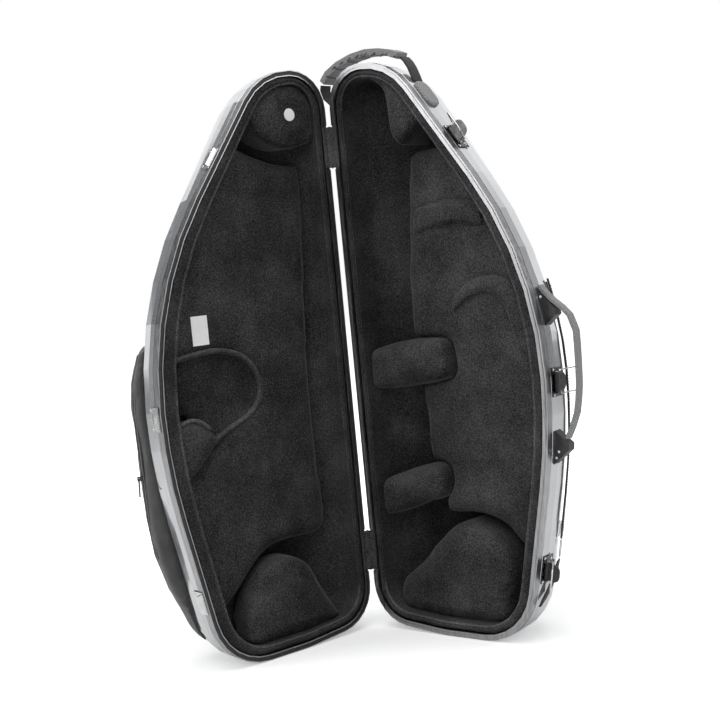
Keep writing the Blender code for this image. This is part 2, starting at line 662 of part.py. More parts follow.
def build_hinge(where, top):
    """Two leaves on the outside of the hinge-side walls, their knuckles round one pin, and covers inside."""
    high = top * CASE_LENGTH - 0.002
    low = high - HINGE_LENGTH
    third = HINGE_LENGTH / 3
    spans = {"base": ((low, low + third), (high - third, high)), "lid": ((low + third, high - third),)}
    far = HINGE_OFFSET - GAP
    for half in (BASE, LID):
        name = f"hinge_{where}_{half.name}_leaf"
        sides = sorted((half.side * LEAF_CLEAR, half.side * LEAF_DEPTH))
        leaf = box(name, (LEAF_NEAR, sides[0], low), (far, sides[1], high), STEEL, half.frame)
        for i, (start, end) in enumerate(spans[half.name]):
            start += 0 if start == low else KNUCKLE_GAP / 2
            end -= 0 if end == high else KNUCKLE_GAP / 2
            reach = sorted((0.0, half.side * (LEAF_CLEAR + 0.002)))
            web = box(
                f"{name}_web_{i}",
                (LEAF_NEAR + 1e-5, reach[0], start),
                (far - 1e-5, reach[1], end),
                None,
                half.frame,
                CUTTERS,
            )
            ends = ((0, 0, start), (0, 0, end))
            knuckle = rod(f"{name}_knuckle_{i}", *ends, KNUCKLE_RADIUS, None, half.frame, CUTTERS)
            boolean(leaf, web, "UNION")
            boolean(leaf, knuckle, "UNION")
        ends = ((0, 0, low - 0.01), (0, 0, high + 0.01))
        bore = rod(f"{name}_bore", *ends, HINGE_PIN_RADIUS + GAP, None, half.frame, CUTTERS)
        boolean(leaf, bore)
        near = half.side * (RIM_FACE + NOTCH_DEPTH - GAP)
        sides = sorted((near, near - half.side * COVER_THICKNESS))
        lowest = (HINGE_OFFSET, sides[0], high - HINGE_LENGTH)
        highest = (COVER_WIDTH, sides[1], high)
        cover = box(f"hinge_{where}_{half.name}_cover", lowest, highest, WEB, half.frame)
        bevel(cover, 0.0003, 1)
    rod(f"hinge_{where}_pin", (0, 0, low - 0.001), (0, 0, high + 0.001), HINGE_PIN_RADIUS, STEEL, BASE_FRAME)


# What is mounted on the fore wall

def fore(z, points=None):
    """The fore wall at this height: (point, outward normal), on the rim or on a ring of the shell."""
    points = points or inset(OUTLINE, 0)
    for a, b in zip(points, points[1:]):
        if b.y > a.y and a.y <= z <= b.y and a.x > CASE_WIDTH / 4:
            along = b - a
            return a + along * (z - a.y) / along.y, Vector((along.y, -along.x)).normalized()
    raise ValueError(f"no fore wall at {z}")


def off_wall(path):
    """Points given as (height, distance out from the fore wall)."""
    found = []
    for height, out in path:
        point, normal = fore(height * CASE_LENGTH / SHAPE_LENGTH)
        found.append(point + normal * out)
    return found


def ribbon_outline(path, thickness):
    """The outline of a strip of this thickness round a path."""
    sides = ([], [])
    for i, here in enumerate(path):
        before = (here - path[i - 1]).normalized() if i else (path[1] - here).normalized()
        after = (path[i + 1] - here).normalized() if i + 1 < len(path) else before
        along = (before + after).normalized()
        normal = Vector((along.y, -along.x)) / max(0.5, along.dot(before))
        sides[0].append(here + normal * thickness / 2)
        sides[1].append(here - normal * thickness / 2)
    return sides[0] + sides[1][::-1]


def ribbon(name, path, thickness, near, far, skin, collection=None):
    return prism(name, ribbon_outline(path, thickness), near, far, 1, skin, BASE_FRAME, collection)


def wall_frame(name, half, z):
    """A frame on the fore wall: X is the depth, Y runs along the wall, Z points out of it."""
    point, normal = fore(z)
    out = Vector((normal.x, 0, normal.y))
    depth = Vector((0, half.side, 0))
    along = out.cross(depth)
    turn = Matrix((depth, along, out)).transposed().to_4x4()
    return empty(name, half.frame, Matrix.Translation(half.place(point, 0)) @ turn)


def turned(angle):
    """A turn that lifts X towards Z."""
    return Matrix.Rotation(-angle, 4, "Y")


def flat_d(name, skin, parent):
    """The lever's plate: square at the pivot, round at its free end, edges broken."""
    half_width = LEVER_WIDTH / 2
    corners = [(0, -half_width, 0.003), (LEVER_LENGTH, -half_width, LEVER_ROUND)]
    corners += [(LEVER_LENGTH, half_width, LEVER_ROUND), (0, half_width, 0.003)]
    outline = rounded(corners, math.radians(24))
    half_thick = LEVER_THICKNESS / 2
    levels = ((0.0007, -half_thick), (0, 0.0006 - half_thick), (0, half_thick - 0.0009), (0.0012, half_thick))
    rings = [[Vector((p.x, p.y, z)) for p in inset(outline, across)] for across, z in levels]
    return loft(name, rings, skin, parent)


def wire(name, points, radius, skin, parent):
    """A bent wire with closed ends."""
    curve = bpy.data.curves.new(name, "CURVE")
    curve.dimensions = "3D"
    curve.bevel_depth = radius
    curve.bevel_resolution = 2
    curve.use_fill_caps = True
    spline = curve.splines.new("POLY")
    spline.points.add(len(points) - 1)
    for place_at, point in zip(spline.points, points):
        place_at.co = (*point, 1)
    return add_object(name, curve, skin, parent)


def build_latch(where, height, open_at_rest):
    frame = wall_frame(f"latch_{where}_frame", BASE, height * CASE_LENGTH)
    half_long = PLATE_LENGTH / 2
    low, high = PLATE_LIFT, PLATE_LIFT + PLATE_THICKNESS
    near, far = PLATE_NEAR, PLATE_FAR
    plate = box(f"latch_{where}_plate", (near, -half_long, low), (far, half_long, high), STEEL, frame)
    pivot = LATCH_PIVOT
    ear_at = LEVER_WIDTH / 2 + GAP
    for side in (-1, 1):
        sides = sorted((side * ear_at, side * (ear_at + EAR_THICKNESS)))
        ear = box(
            f"latch_{where}_ear_{side}",
            (pivot.x - EAR_LENGTH / 2, sides[0], low + 0.0003),
            (pivot.x + EAR_LENGTH / 2, sides[1], EAR_HEIGHT),
            None,
            frame,
            CUTTERS,
        )
        boolean(plate, ear, "UNION")
    reach = Vector((0, ear_at + EAR_THICKNESS - 0.0002, 0))
    ends = (pivot - reach, pivot + reach)
    pin = rod(f"latch_{where}_pin", *ends, LATCH_PIN_RADIUS, None, frame, CUTTERS)
    boolean(plate, pin, "UNION")

    rest = LEVER_OPEN if open_at_rest else 0.0
    lever_at = empty(f"latch_{where}_lever_axis", frame, Matrix.Translation(pivot) @ turned(rest))
    lever = flat_d(f"latch_{where}_lever", STEEL, lever_at)
    across = Vector((0, LEVER_WIDTH / 2 - 0.0001, 0))
    through = across * 1.2
    arm = Vector((BAIL_ARM, 0, 0))
    barrel = rod(f"latch_{where}_barrel", -across, across, LEVER_BARREL, None, lever_at, CUTTERS)
    boolean(lever, barrel, "UNION")
    bore = rod(f"latch_{where}_bore", -through, through, LATCH_PIN_RADIUS + GAP, None, lever_at, CUTTERS)
    boolean(lever, bore)
    bore = rod(f"latch_{where}_eye", arm - through, arm + through, BAIL_WIRE + GAP, None, lever_at, CUTTERS)
    boolean(lever, bore)

    lifted = BAIL_LIFTED - LEVER_OPEN if open_at_rest else BAIL_FOLDED
    bail_at = empty(f"latch_{where}_bail_axis", lever_at, Matrix.Translation(arm) @ turned(lifted))
    bend = 0.0016
    half_bail = []
    for x, y in ((0, BAIL_PIN_END), (0, BAIL_HALF_WIDTH - bend), (bend, BAIL_HALF_WIDTH),
                 (BAIL_REACH - 2 * bend, BAIL_HALF_WIDTH), (BAIL_REACH, BAIL_HALF_WIDTH - 2 * bend)):
        half_bail.append((x, y, 0))
    other_half = [(x, -y, 0) for x, y, _ in reversed(half_bail)]
    wire(f"latch_{where}_bail", half_bail + other_half, BAIL_WIRE, STEEL, bail_at)

    frame = wall_frame(f"keeper_{where}_frame", LID, height * CASE_LENGTH)
    half_long = KEEPER_LENGTH / 2
    near, far = KEEPER_NEAR, KEEPER_FAR
    keeper = box(f"keeper_{where}", (near, -half_long, low), (far, half_long, high), STEEL, frame)
    near += 0.001
    half_ridge = BAIL_HALF_WIDTH - BAIL_WIRE - 0.0012
    ridge = box(
        f"keeper_{where}_ridge",
        (near, -half_ridge, low + 0.0003),
        (near + KEEPER_RIDGE, half_ridge, KEEPER_HEIGHT),
        None,
        frame,
        CUTTERS,
    )
    boolean(keeper, ridge, "UNION")
    half_slot = half_long * 0.45
    slot = box(
        f"keeper_{where}_slot",
        (KEEPER_SLOT, -half_slot, -0.001),
        (KEEPER_SLOT + KEEPER_SLOT_WIDTH, half_slot, 0.01),
        None,
        frame,
        CUTTERS,
    )
    boolean(keeper, slot)


def build_side_handle(body):
    near, far = SIDE_HANDLE_W - SIDE_BOW_WIDTH / 2, SIDE_HANDLE_W + SIDE_BOW_WIDTH / 2
    path = off_wall(SIDE_BOW_PATH)
    bow = ribbon("side_handle_bow", path, SIDE_BOW_THICKNESS, near, far, WEB)
    boolean(bow, body)
    room = ribbon("side_bow_room", path, SIDE_BOW_THICKNESS + 2 * GAP, near - 0.01, far + 0.01, None, CUTTERS)
    near, far = SIDE_HANDLE_W - GUSSET_WIDTH / 2, SIDE_HANDLE_W + GUSSET_WIDTH / 2
    for name, profile in (("upper", UPPER_GUSSET), ("lower", LOWER_GUSSET)):
        gusset = prism(f"side_gusset_{name}", off_wall(profile)[::-1], near, far, 1, PLASTIC, BASE_FRAME)
        boolean(gusset, body)
        boolean(gusset, room)


def build_top_handle(body):
    across = CASE_WIDTH / SHAPE_WIDTH

    def over_top(path):
        return [Vector((u * across, CASE_LENGTH + h)) for u, h in path]

    near, far = TOP_HANDLE_W - GRIP_WIDTH / 2, TOP_HANDLE_W + GRIP_WIDTH / 2
    path = over_top(GRIP_PATH)
    grip = ribbon("top_handle_grip", path, GRIP_THICKNESS, near, far, WEB)
    for i in range(GRIP_NOTCHES):
        along = (i + 0.8) / GRIP_NOTCHES * (len(path) - 1)
        start, end = path[int(along)], path[min(int(along) + 1, len(path) - 1)]
        here = start.lerp(end, along - int(along))
        run = (end - start).normalized() if end != start else (path[-1] - path[-2]).normalized()
        under = Vector((run.y, -run.x))
        lean = (under + run * 0.6).normalized()
        mouth = here + under * (GRIP_THICKNESS / 2 + 0.001)
        root = here + under * (GRIP_THICKNESS / 2 - NOTCH_CUT)
        wide = Vector((lean.y, -lean.x)) * NOTCH_WIDTH / 2
        slot = [mouth - wide, mouth + wide, root + wide, root - wide]
        boolean(grip, prism(f"grip_notch_{i}", slot, near - 0.01, far + 0.01, 1, None, BASE_FRAME, CUTTERS))
    near, far = TOP_HANDLE_W - TOP_STRAP_WIDTH / 2, TOP_HANDLE_W + TOP_STRAP_WIDTH / 2
    rear = over_top(REAR_STRAP_PATH)
    boolean(ribbon("top_handle_strap_rear", rear, TOP_STRAP_THICKNESS, near, far, WEB), body)
    fore_path = over_top(FORE_STRAP_PATH)
    boolean(ribbon("top_handle_strap_fore", fore_path, TOP_STRAP_THICKNESS, near, far, WEB), body)
    cover = [rear[-1] + Vector((-TOP_STRAP_THICKNESS / 2 - GAP - 0.0013, 0.014)), rear[-1]]
    cover[1] = Vector((cover[0].x, rear[-1].y - 0.004))
    ribbon("top_handle_patch_rear", cover, 0.0026, near - 0.003, far + 0.003, WEB)
    low, high = (share * CASE_LENGTH for share in PATCH_HEIGHTS)
    length = (high - low) / fore((low + high) / 2)[1].x
    frame = wall_frame("patch_frame", BASE, (low + high) / 2)
    corners = [(-PATCH_WIDTH / 2, -length / 2, 0.014), (PATCH_WIDTH / 2, -length / 2, 0.014)]
    corners += [(PATCH_WIDTH / 2, length / 2, 0.014), (-PATCH_WIDTH / 2, length / 2, 0.014)]
    outline = rounded(corners, math.radians(24))
    high = PATCH_THICKNESS
    levels = ((0, -0.012), (0, high * 0.6), (0.0016, high * 0.92), (0.0045, high))
    middle = TOP_HANDLE_W - 0.004
    rings = [[Vector((middle + p.x, p.y, z)) for p in inset(outline, across)] for across, z in levels]
    patch = loft("top_handle_patch_fore", rings, PLASTIC, frame)
    boolean(patch, body)
    thick = TOP_STRAP_THICKNESS + 2 * GAP
    room = ribbon("fore_strap_room", fore_path, thick, near - GAP, far + GAP, None, CUTTERS)
    boolean(patch, room)


def flank_section(near, far, lift, thickness, corner_inset):
    """Four corners (inset, depth) of a strip that lies on a flank between two depths, lifted off it."""
    a = Vector((corner_inset(near), near))
    b = Vector((corner_inset(far), far))
    along = (b - a).normalized()
    out = Vector((-along.y, along.x))
    return [a + out * lift, b + out * lift, b + out * (lift + thickness), a + out * (lift + thickness)]


def build_back_strap(body):
    """Webbing along the base's fore shoulder, its end anchors, the ring and the loose tail."""
    along = CASE_LENGTH / SHAPE_LENGTH

    def sections(stations, lift, thickness):
        rings = []
        for height, near, far in stations:
            (a, normal), (b, _) = (fore(height * along, BASE.ring(w)) for w in (near, far))
            a, b = place(1, a, near), place(1, b, far)
            out = (b - a).cross(Vector((-normal.y, 0, normal.x))).normalized()
            if out.x < 0:
                out = -out
            low, high = out * lift, out * (lift + thickness)
            rings.append([a + low, b + low, b + high, a + high])
        return rings

    loft("back_strap", sections(STRAP_STATIONS, STRAP_STAND, STRAP_THICKNESS), WEB, BASE_FRAME, smooth=False)
    loft("back_strap_tail", sections(TAIL_STATIONS, STRAP_STAND, 0.0022), WEB, BASE_FRAME, smooth=False)
    for where, height in (("upper", 0.500), ("lower", 0.156)):
        stations = ((height - 0.009, 0.058, 0.080), (height + 0.009, 0.058, 0.080))
        rings = sections(stations, -0.004, 0.003 + STRAP_STAND)
        anchor = loft(f"strap_anchor_{where}", rings, STEEL, BASE_FRAME)
        boolean(anchor, body)
    ring = sections(((0.1425, 0.060, 0.078), (0.1190, 0.061, 0.071)), STRAP_STAND + STRAP_THICKNESS / 2, 0.0)
    top, low = ring
    corners = [top[0].lerp(top[1], 0.02), top[0].lerp(top[1], 0.98), low[0].lerp(low[1], 0.6)]
    middle = (corners[0] + corners[1] + corners[2]) / 3
    down = (corners[2] - (corners[0] + corners[1]) / 2).normalized() * 0.0022
    points = [p + down for p in corners]
    bm = bmesh.new()
    normal = (points[1] - points[0]).cross(points[2] - points[0]).normalized()
    rows = []
    for i, p in enumerate(points):
        outward = (p - middle - down).normalized()
        row = []
        for k in range(8):
            angle = 2 * math.pi * k / 8
            round_wire = outward * math.cos(angle) * 1.5 + normal * math.sin(angle)
            row.append(bm.verts.new(p + round_wire * RING_WIRE))
        rows.append(row)
    for a, b in zip(rows, rows[1:] + rows[:1]):
        for k in range(8):
            j = (k + 1) % 8
            bm.faces.new((a[k], a[j], b[j], b[k]))
    add_object("strap_ring", mesh_from(bm, "strap_ring", smooth=True), STEEL, BASE_FRAME)


def build_pocket(body):
    outline = rounded(scaled(POCKET_CORNERS), math.radians(15), 0.080)
    rings = [[LID.place(p, w) for p in inset(outline, across)] for across, w in POCKET_PROFILE]
    pocket = loft("pocket", rings, FABRIC, LID_FRAME)
    boolean(pocket, body)
    near_row, far_row = POCKET_PROFILE[2], POCKET_PROFILE[3]

    def flank(w):
        share = (w - near_row[1]) / (far_row[1] - near_row[1])
        return near_row[0] + share * (far_row[0] - near_row[0])

    low, high = (end * CASE_LENGTH / SHAPE_LENGTH for end in ZIP_ENDS)
    section = flank_section(ZIP_NEAR, ZIP_FAR, GAP, ZIP_TAPE_THICKNESS, flank)
    rings = []
    for point, normal in outline:
        if low <= point.y <= high and point.x > CASE_WIDTH / 2:
            rings.append([LID.place(point - normal * across, w) for across, w in section])
    loft("pocket_zip_tape", rings, FABRIC, LID_FRAME, smooth=False)

    start = Vector(scaled([POCKET_CORNERS[2]])[0][:2])
    end = Vector(scaled([POCKET_CORNERS[3]])[0][:2])
    run = (end - start).normalized()
    height = SLIDER_HEIGHT * CASE_LENGTH / SHAPE_LENGTH
    here = start + run * (height - start.y) / run.y
    normal = Vector((run.y, -run.x))
    lift = 2 * GAP + ZIP_TAPE_THICKNESS
    near, far = flank_section(ZIP_NEAR, ZIP_FAR, lift, 0.0, flank)[:2]
    a = LID.place(here - normal * near.x, near.y)
    b = LID.place(here - normal * far.x, far.y)
    along = Vector((run.x, 0, run.y))
    back = (b - a).normalized()
    out = along.cross(back)
    facing = Matrix((along, back, out)).transposed().to_4x4()
    frame = empty("zip_slider_frame", LID_FRAME, Matrix.Translation((a + b) / 2) @ facing)
    length, width, thick = SLIDER_SIZE
    low, high = (-length / 2, -width / 2, 0), (length / 2, width / 2, thick * 0.45)
    slider = box("zip_slider", low, high, STEEL, frame)
    low, high = (-length * 0.3, -0.0011, thick * 0.3), (length * 0.3, 0.0011, thick + 0.0034)
    post = box("slider_post", low, high, None, frame, CUTTERS)
    boolean(slider, post, "UNION")
    eye = (0, 0, thick + 0.0012)
    hole = rod("slider_eye", (0, -0.01, eye[2]), (0, 0.01, eye[2]), 0.0013, None, frame, CUTTERS)
    boolean(slider, hole)
    hanging = Matrix.Translation(eye) @ Matrix.Rotation(math.pi, 4, "Z") @ turned(math.radians(4))
    puller_at = empty("zip_puller_axis", frame, hanging)
    half_width = PULLER_WIDTH / 2
    half_thick = PULLER_THICKNESS / 2
    low, high = (0.0052, -half_width, -half_thick), (PULLER_LENGTH, half_width, half_thick)
    plate = box("zip_puller", low, high, STEEL, puller_at)
    for side in (-1, 1):
        sides = sorted((side * 0.0015, side * half_width))
        low, high = (-0.0006, sides[0], -half_thick), (0.0060, sides[1], half_thick)
        arm = box(f"puller_arm_{side}", low, high, None, puller_at, CUTTERS)
        boolean(plate, arm, "UNION")
    bar = rod("puller_bar", (0, -0.0018, 0), (0, 0.0018, 0), 0.0009, None, puller_at, CUTTERS, 12)
    boolean(plate, bar, "UNION")


build_shells_and_rims()
build_lining()
for hinge, hinge_top in HINGE_TOPS.items():
    build_hinge(hinge, hinge_top)
base_body = BASE.body(GAP)
lid_body = LID.body(GAP)
for latch, latch_height in LATCH_HEIGHTS.items():
    build_latch(latch, latch_height, latch != "middle")
build_side_handle(base_body)
build_top_handle(base_body)
build_back_strap(base_body)
build_pocket(lid_body)

# The case was built round its hinge axis. It moves so that the origin lies under the middle of its box.
bpy.context.view_layer.update()
graph = bpy.context.evaluated_depsgraph_get()
points = []
for piece in PARTS.objects:
    if piece.type != "EMPTY":
        solid = piece.evaluated_get(graph)
        points += [(solid.matrix_world @ vertex.co).to_2d() for vertex in solid.to_mesh().vertices]
        solid.to_mesh_clear()
for axis in (0, 1):
    STAND.location[axis] = -(min(p[axis] for p in points) + max(p[axis] for p in points)) / 2
bpy.context.view_layer.update()
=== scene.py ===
"""Tenor saxophone case, open on end in a plain pale studio: materials, soft goods and small hardware."""

import json
import math

import bmesh
import bpy
import numpy as np
from mathutils import Matrix, Vector


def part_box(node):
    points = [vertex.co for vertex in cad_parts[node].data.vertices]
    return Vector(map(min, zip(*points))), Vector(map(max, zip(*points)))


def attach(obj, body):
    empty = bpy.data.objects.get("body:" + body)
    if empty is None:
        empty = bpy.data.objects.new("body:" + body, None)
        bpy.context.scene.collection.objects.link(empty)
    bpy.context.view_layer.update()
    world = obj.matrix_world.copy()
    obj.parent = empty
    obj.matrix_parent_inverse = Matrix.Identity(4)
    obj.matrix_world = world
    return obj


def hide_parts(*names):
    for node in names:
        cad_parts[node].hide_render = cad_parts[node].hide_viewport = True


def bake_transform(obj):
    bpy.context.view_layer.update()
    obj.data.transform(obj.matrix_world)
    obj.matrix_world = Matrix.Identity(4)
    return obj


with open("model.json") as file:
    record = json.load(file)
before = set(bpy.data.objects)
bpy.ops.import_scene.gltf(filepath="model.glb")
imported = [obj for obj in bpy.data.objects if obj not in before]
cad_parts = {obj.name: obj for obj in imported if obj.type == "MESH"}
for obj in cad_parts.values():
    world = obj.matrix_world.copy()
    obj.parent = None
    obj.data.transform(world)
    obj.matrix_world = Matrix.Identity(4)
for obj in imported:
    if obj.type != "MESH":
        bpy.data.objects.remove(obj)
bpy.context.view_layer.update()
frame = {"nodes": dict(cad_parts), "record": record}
NODES = frame["nodes"]
scene = bpy.context.scene

JOINTS = {joint["name"]: joint for joint in frame["record"]["behaviour"]["joints"]}

SHIFT = Vector((*JOINTS["lid_hinge"]["pos_m"][:2], 0.0))    # the hinge axis, which both halves are drawn from
HALF_OPEN = math.radians(51)    # how far each half is turned from shut
LENGTH = 0.848                  # of each half, along Z
HINGE_OFFSET = 0.004            # from the hinge axis to the halves' edges


def half_matrix(side):
    """Base (1) or lid (-1): X across the rim from the hinge, Y into the base, Z up."""
    turn = math.pi / 2 - HALF_OPEN
    angle = -turn if side > 0 else math.pi + turn
    return Matrix.Translation(SHIFT) @ Matrix.Rotation(angle, 4, "Z")


HALVES = {"base": half_matrix(1), "lid": half_matrix(-1)}


def at(half, u, z, w):
    """A point of a half: u from the hinge side, z up, w into the half."""
    side = 1 if half == "base" else -1
    return HALVES[half] @ Vector((u + HINGE_OFFSET, side * w, z))


# Camera, found from the rims' outlines in the photo: its place from the hinge axis, its turn and its focal length

CAMERA_PLACE = Vector((0.02147, -1.96568, 0.57437))
CAMERA_RIGHT = Vector((0.99559, -0.00365, -0.09374))
CAMERA_UP = Vector((0.09372, 0.08231, 0.99219))
FOCAL_PIXELS, PHOTO_PIXELS = 1300, 720
SENSOR = 36


def place_camera():
    camera = bpy.data.objects.new("camera", bpy.data.cameras.new("camera"))
    scene.collection.objects.link(camera)
    back = CAMERA_RIGHT.cross(CAMERA_UP)
    turn = Matrix((CAMERA_RIGHT, CAMERA_UP, back)).transposed().to_4x4()
    camera.matrix_world = Matrix.Translation(CAMERA_PLACE + SHIFT) @ turn
    camera.data.sensor_width = SENSOR
    camera.data.lens = FOCAL_PIXELS / PHOTO_PIXELS * SENSOR
    camera.data.clip_start = 0.02
    scene.camera = camera


place_camera()


# Materials

class Skin:
    """A Principled material with helpers for its texture nodes, all in the piece's own space."""

    def __init__(self, name, colour, roughness, metallic=0.0, **sockets):
        self.material = bpy.data.materials.new(name)
        self.material.use_nodes = True
        self.material.diffuse_color = (*colour, 1)
        self.nodes = self.material.node_tree.nodes
        self.links = self.material.node_tree.links
        self.shader = self.nodes["Principled BSDF"]
        self.shader.inputs["Base Color"].default_value = (*colour, 1)
        self.shader.inputs["Roughness"].default_value = roughness
        self.shader.inputs["Metallic"].default_value = metallic
        for key, value in sockets.items():
            self.shader.inputs[key.replace("_", " ")].default_value = value
        self.places = self.nodes.new("ShaderNodeTexCoord").outputs["Object"]

    def mapped(self, stretch=(1, 1, 1), turn=(0, 0, 0)):
        node = self.nodes.new("ShaderNodeMapping")
        node.inputs["Scale"].default_value = stretch
        node.inputs["Rotation"].default_value = turn
        self.links.new(self.places, node.inputs["Vector"])
        return node.outputs["Vector"]

    def noise(self, scale, detail=3.0, rough=0.55, stretch=(1, 1, 1)):
        node = self.nodes.new("ShaderNodeTexNoise")
        node.inputs["Scale"].default_value = scale
        node.inputs["Detail"].default_value = detail
        node.inputs["Roughness"].default_value = rough
        self.links.new(self.mapped(stretch), node.inputs["Vector"])
        return node.outputs["Fac"]

    def wave(self, period, turn=(0, 0, 0), direction="X", distortion=0.0):
        node = self.nodes.new("ShaderNodeTexWave")
        node.bands_direction = direction
        node.inputs["Scale"].default_value = 0.314 / period
        node.inputs["Distortion"].default_value = distortion
        node.inputs["Detail"].default_value = 1.0
        node.inputs["Detail Scale"].default_value = 1.0
        self.links.new(self.mapped((1, 1, 1), turn), node.inputs["Vector"])
        return node.outputs["Fac"]

    def maths(self, operation, a, b):
        node = self.nodes.new("ShaderNodeMath")
        node.operation = operation
        for socket, value in zip(node.inputs, (a, b)):
            if isinstance(value, (int, float)):
                socket.default_value = value
            else:
                self.links.new(value, socket)
        return node.outputs[0]

    def painted_top_light(self):
        """Painted light from above: 1 where the surface looks up and a little to the left, 0 where it looks down."""
        node = self.nodes.new("ShaderNodeVectorMath")
        node.operation = "DOT_PRODUCT"
        self.links.new(self.nodes.new("ShaderNodeNewGeometry").outputs["Normal"], node.inputs[0])
        node.inputs[1].default_value = (-0.20, -0.35, 0.91)
        return self.spread(node.outputs["Value"], -0.5, 0.9, 0.0, 1.0)

    def spread(self, value, low, high, out_low, out_high):
        node = self.nodes.new("ShaderNodeMapRange")
        self.links.new(value, node.inputs["Value"])
        for key, number in (("From Min", low), ("From Max", high), ("To Min", out_low), ("To Max", out_high)):
            node.inputs[key].default_value = number
        return node.outputs["Result"]

    def tint(self, value, *stops):
        """Colours by value: (place, colour) stops."""
        node = self.nodes.new("ShaderNodeValToRGB")
        ramp = node.color_ramp
        while len(ramp.elements) < len(stops):
            ramp.elements.new(0.5)
        for element, (place, colour) in zip(ramp.elements, stops):
            element.position = place
            element.color = (*colour, 1)
        self.links.new(value, node.inputs["Fac"])
        self.links.new(node.outputs["Color"], self.shader.inputs["Base Color"])

    def rough(self, value, low, high):
        self.links.new(self.spread(value, 0.3, 0.7, low, high), self.shader.inputs["Roughness"])

    def bump(self, value, distance, strength=1.0):
        node = self.nodes.new("ShaderNodeBump")
        node.inputs["Distance"].default_value = distance
        node.inputs["Strength"].default_value = strength
        self.links.new(value, node.inputs["Height"])
        normal = self.shader.inputs["Normal"]
        if normal.is_linked:
            self.links.new(normal.links[0].from_socket, node.inputs["Normal"])
        self.links.new(node.outputs["Normal"], normal)


def grey(value, warm=0.0):
    return (value * (1 + warm), value, value * (1 - warm))


def silver_skin():
    dark, pale = (0.52, 0.53, 0.55), (0.62, 0.63, 0.65)
    skin = Skin("silver_laminate_skin", dark, 0.12, 0.80, Coat_Weight=0.8, Coat_Roughness=0.04)
    skin.tint(skin.noise(9, 3), (0.35, dark), (0.65, pale))
    skin.rough(skin.noise(70, 4), 0.08, 0.18)
    skin.bump(skin.noise(16, 2), 0.0004, 0.30)
    skin.bump(skin.noise(900, 2), 0.00002, 0.5)
    return skin.material


def aluminium_skin():
    skin = Skin("aluminium_skin", (0.42, 0.42, 0.43), 0.30, 1.0)
    drawn = skin.noise(260, 3, 0.6, (1, 1, 0.06))
    skin.tint(drawn, (0.3, (0.30, 0.30, 0.31)), (0.7, (0.48, 0.48, 0.49)))
    skin.rough(drawn, 0.26, 0.42)
    skin.bump(drawn, 0.00004)
    return skin.material


def steel_skin(name, dark=0.0, low=0.14, high=0.30):
    value = 0.74 - dark
    skin = Skin(name, grey(value), low, 1.0)
    worn = skin.noise(120, 4, 0.6)
    skin.tint(worn, (0.3, grey(value - 0.10)), (0.7, grey(value + 0.06)))
    skin.rough(worn, low, high)
    skin.bump(skin.noise(700, 2), 0.00003)
    return skin.material


def rubber_skin():
    skin = Skin("seal_rubber_skin", grey(0.02), 0.55)
    dust = skin.noise(160, 4, 0.6)
    skin.tint(dust, (0.4, grey(0.014)), (0.7, grey(0.040)))
    skin.rough(dust, 0.45, 0.65)
    skin.bump(skin.noise(500, 2), 0.0001)
    return skin.material


def plush_skin(name, low=0.004, high=0.060):
    """Short pile: fine speckle over wide patches where the pile lies the other way, and painted light on faces that
    look up.
    """
    skin = Skin(name, grey(0.02), 0.95, Sheen_Weight=0.30, Sheen_Roughness=0.30, Sheen_Tint=(0.7, 0.7, 0.72, 1),
                Specular_IOR_Level=0.15)
    speckle = skin.noise(520, 3, 0.75)
    lay = skin.noise(13, 3, 0.6)
    both = skin.maths("ADD", skin.maths("MULTIPLY", speckle, 0.68), skin.maths("MULTIPLY", lay, 0.26))
    # Painted light: plush that faces up is made paler, as if lit from above.
    both = skin.maths("ADD", both, skin.maths("MULTIPLY", skin.painted_top_light(), 0.11))
    skin.tint(both, (0.40, grey(low, 0.02)), (0.49, grey(low + (high - low) * 0.25)), (0.62, grey(high)),
              (0.74, grey(high * 1.9)))
    skin.bump(speckle, 0.0012, 0.8)
    skin.bump(lay, 0.0010, 0.2)
    return skin.material


def webbing_skin(name="webbing_skin", low=0.006, high=0.050, period=0.0015):
    """Twill webbing: slanted yarns crossed by finer ones."""
    skin = Skin(name, grey(0.025), 0.75, Sheen_Weight=0.25, Sheen_Roughness=0.4, Sheen_Tint=(0.6, 0.6, 0.62, 1))
    yarns = skin.wave(period, (0, 0, 0), "Z", 0.6)
    cross = skin.wave(period * 1.4, (0.0, math.radians(38), 0.0), "DIAGONAL", 0.4)
    weave = skin.maths("MULTIPLY", yarns, cross)
    fuzz = skin.noise(400, 4, 0.8)
    both = skin.maths("ADD", skin.maths("MULTIPLY", weave, 0.45), skin.maths("MULTIPLY", fuzz, 0.55))
    skin.tint(both, (0.15, grey(low)), (0.45, grey((low + high) / 2.4)), (0.80, grey(high)))
    skin.rough(fuzz, 0.62, 0.85)
    skin.bump(weave, 0.0003, 0.9)
    skin.bump(fuzz, 0.0001, 0.5)
    return skin.material


def cloth_skin():
    """Coated pocket cloth: a plain weave with rubbed, paler places."""
    skin = Skin("pocket_cloth_skin", grey(0.035), 0.7, Sheen_Weight=0.3, Sheen_Roughness=0.5)
    warp = skin.wave(0.0011, (0, 0, 0), "Z", 0.3)
    weft = skin.wave(0.0011, (0, 0, math.radians(39)), "X", 0.3)
    weave = skin.maths("MAXIMUM", warp, weft)
    rubbed = skin.noise(32, 4, 0.65)
    both = skin.maths("ADD", skin.maths("MULTIPLY", weave, 0.35), skin.maths("MULTIPLY", rubbed, 0.65))
    skin.tint(both, (0.35, grey(0.022)), (0.60, grey(0.046)), (0.85, grey(0.090)))
    skin.rough(rubbed, 0.58, 0.82)
    skin.bump(weave, 0.00025, 0.8)
    return skin.material


def plastic_skin(name, value, roughness=0.42):
    skin = Skin(name, grey(value), roughness)
    mottled = skin.noise(90, 3)
    skin.tint(mottled, (0.35, grey(value * 0.75)), (0.70, grey(value * 1.35)))
    skin.rough(mottled, roughness - 0.06, roughness + 0.12)
    skin.bump(skin.noise(1300, 2), 0.00006)
    return skin.material


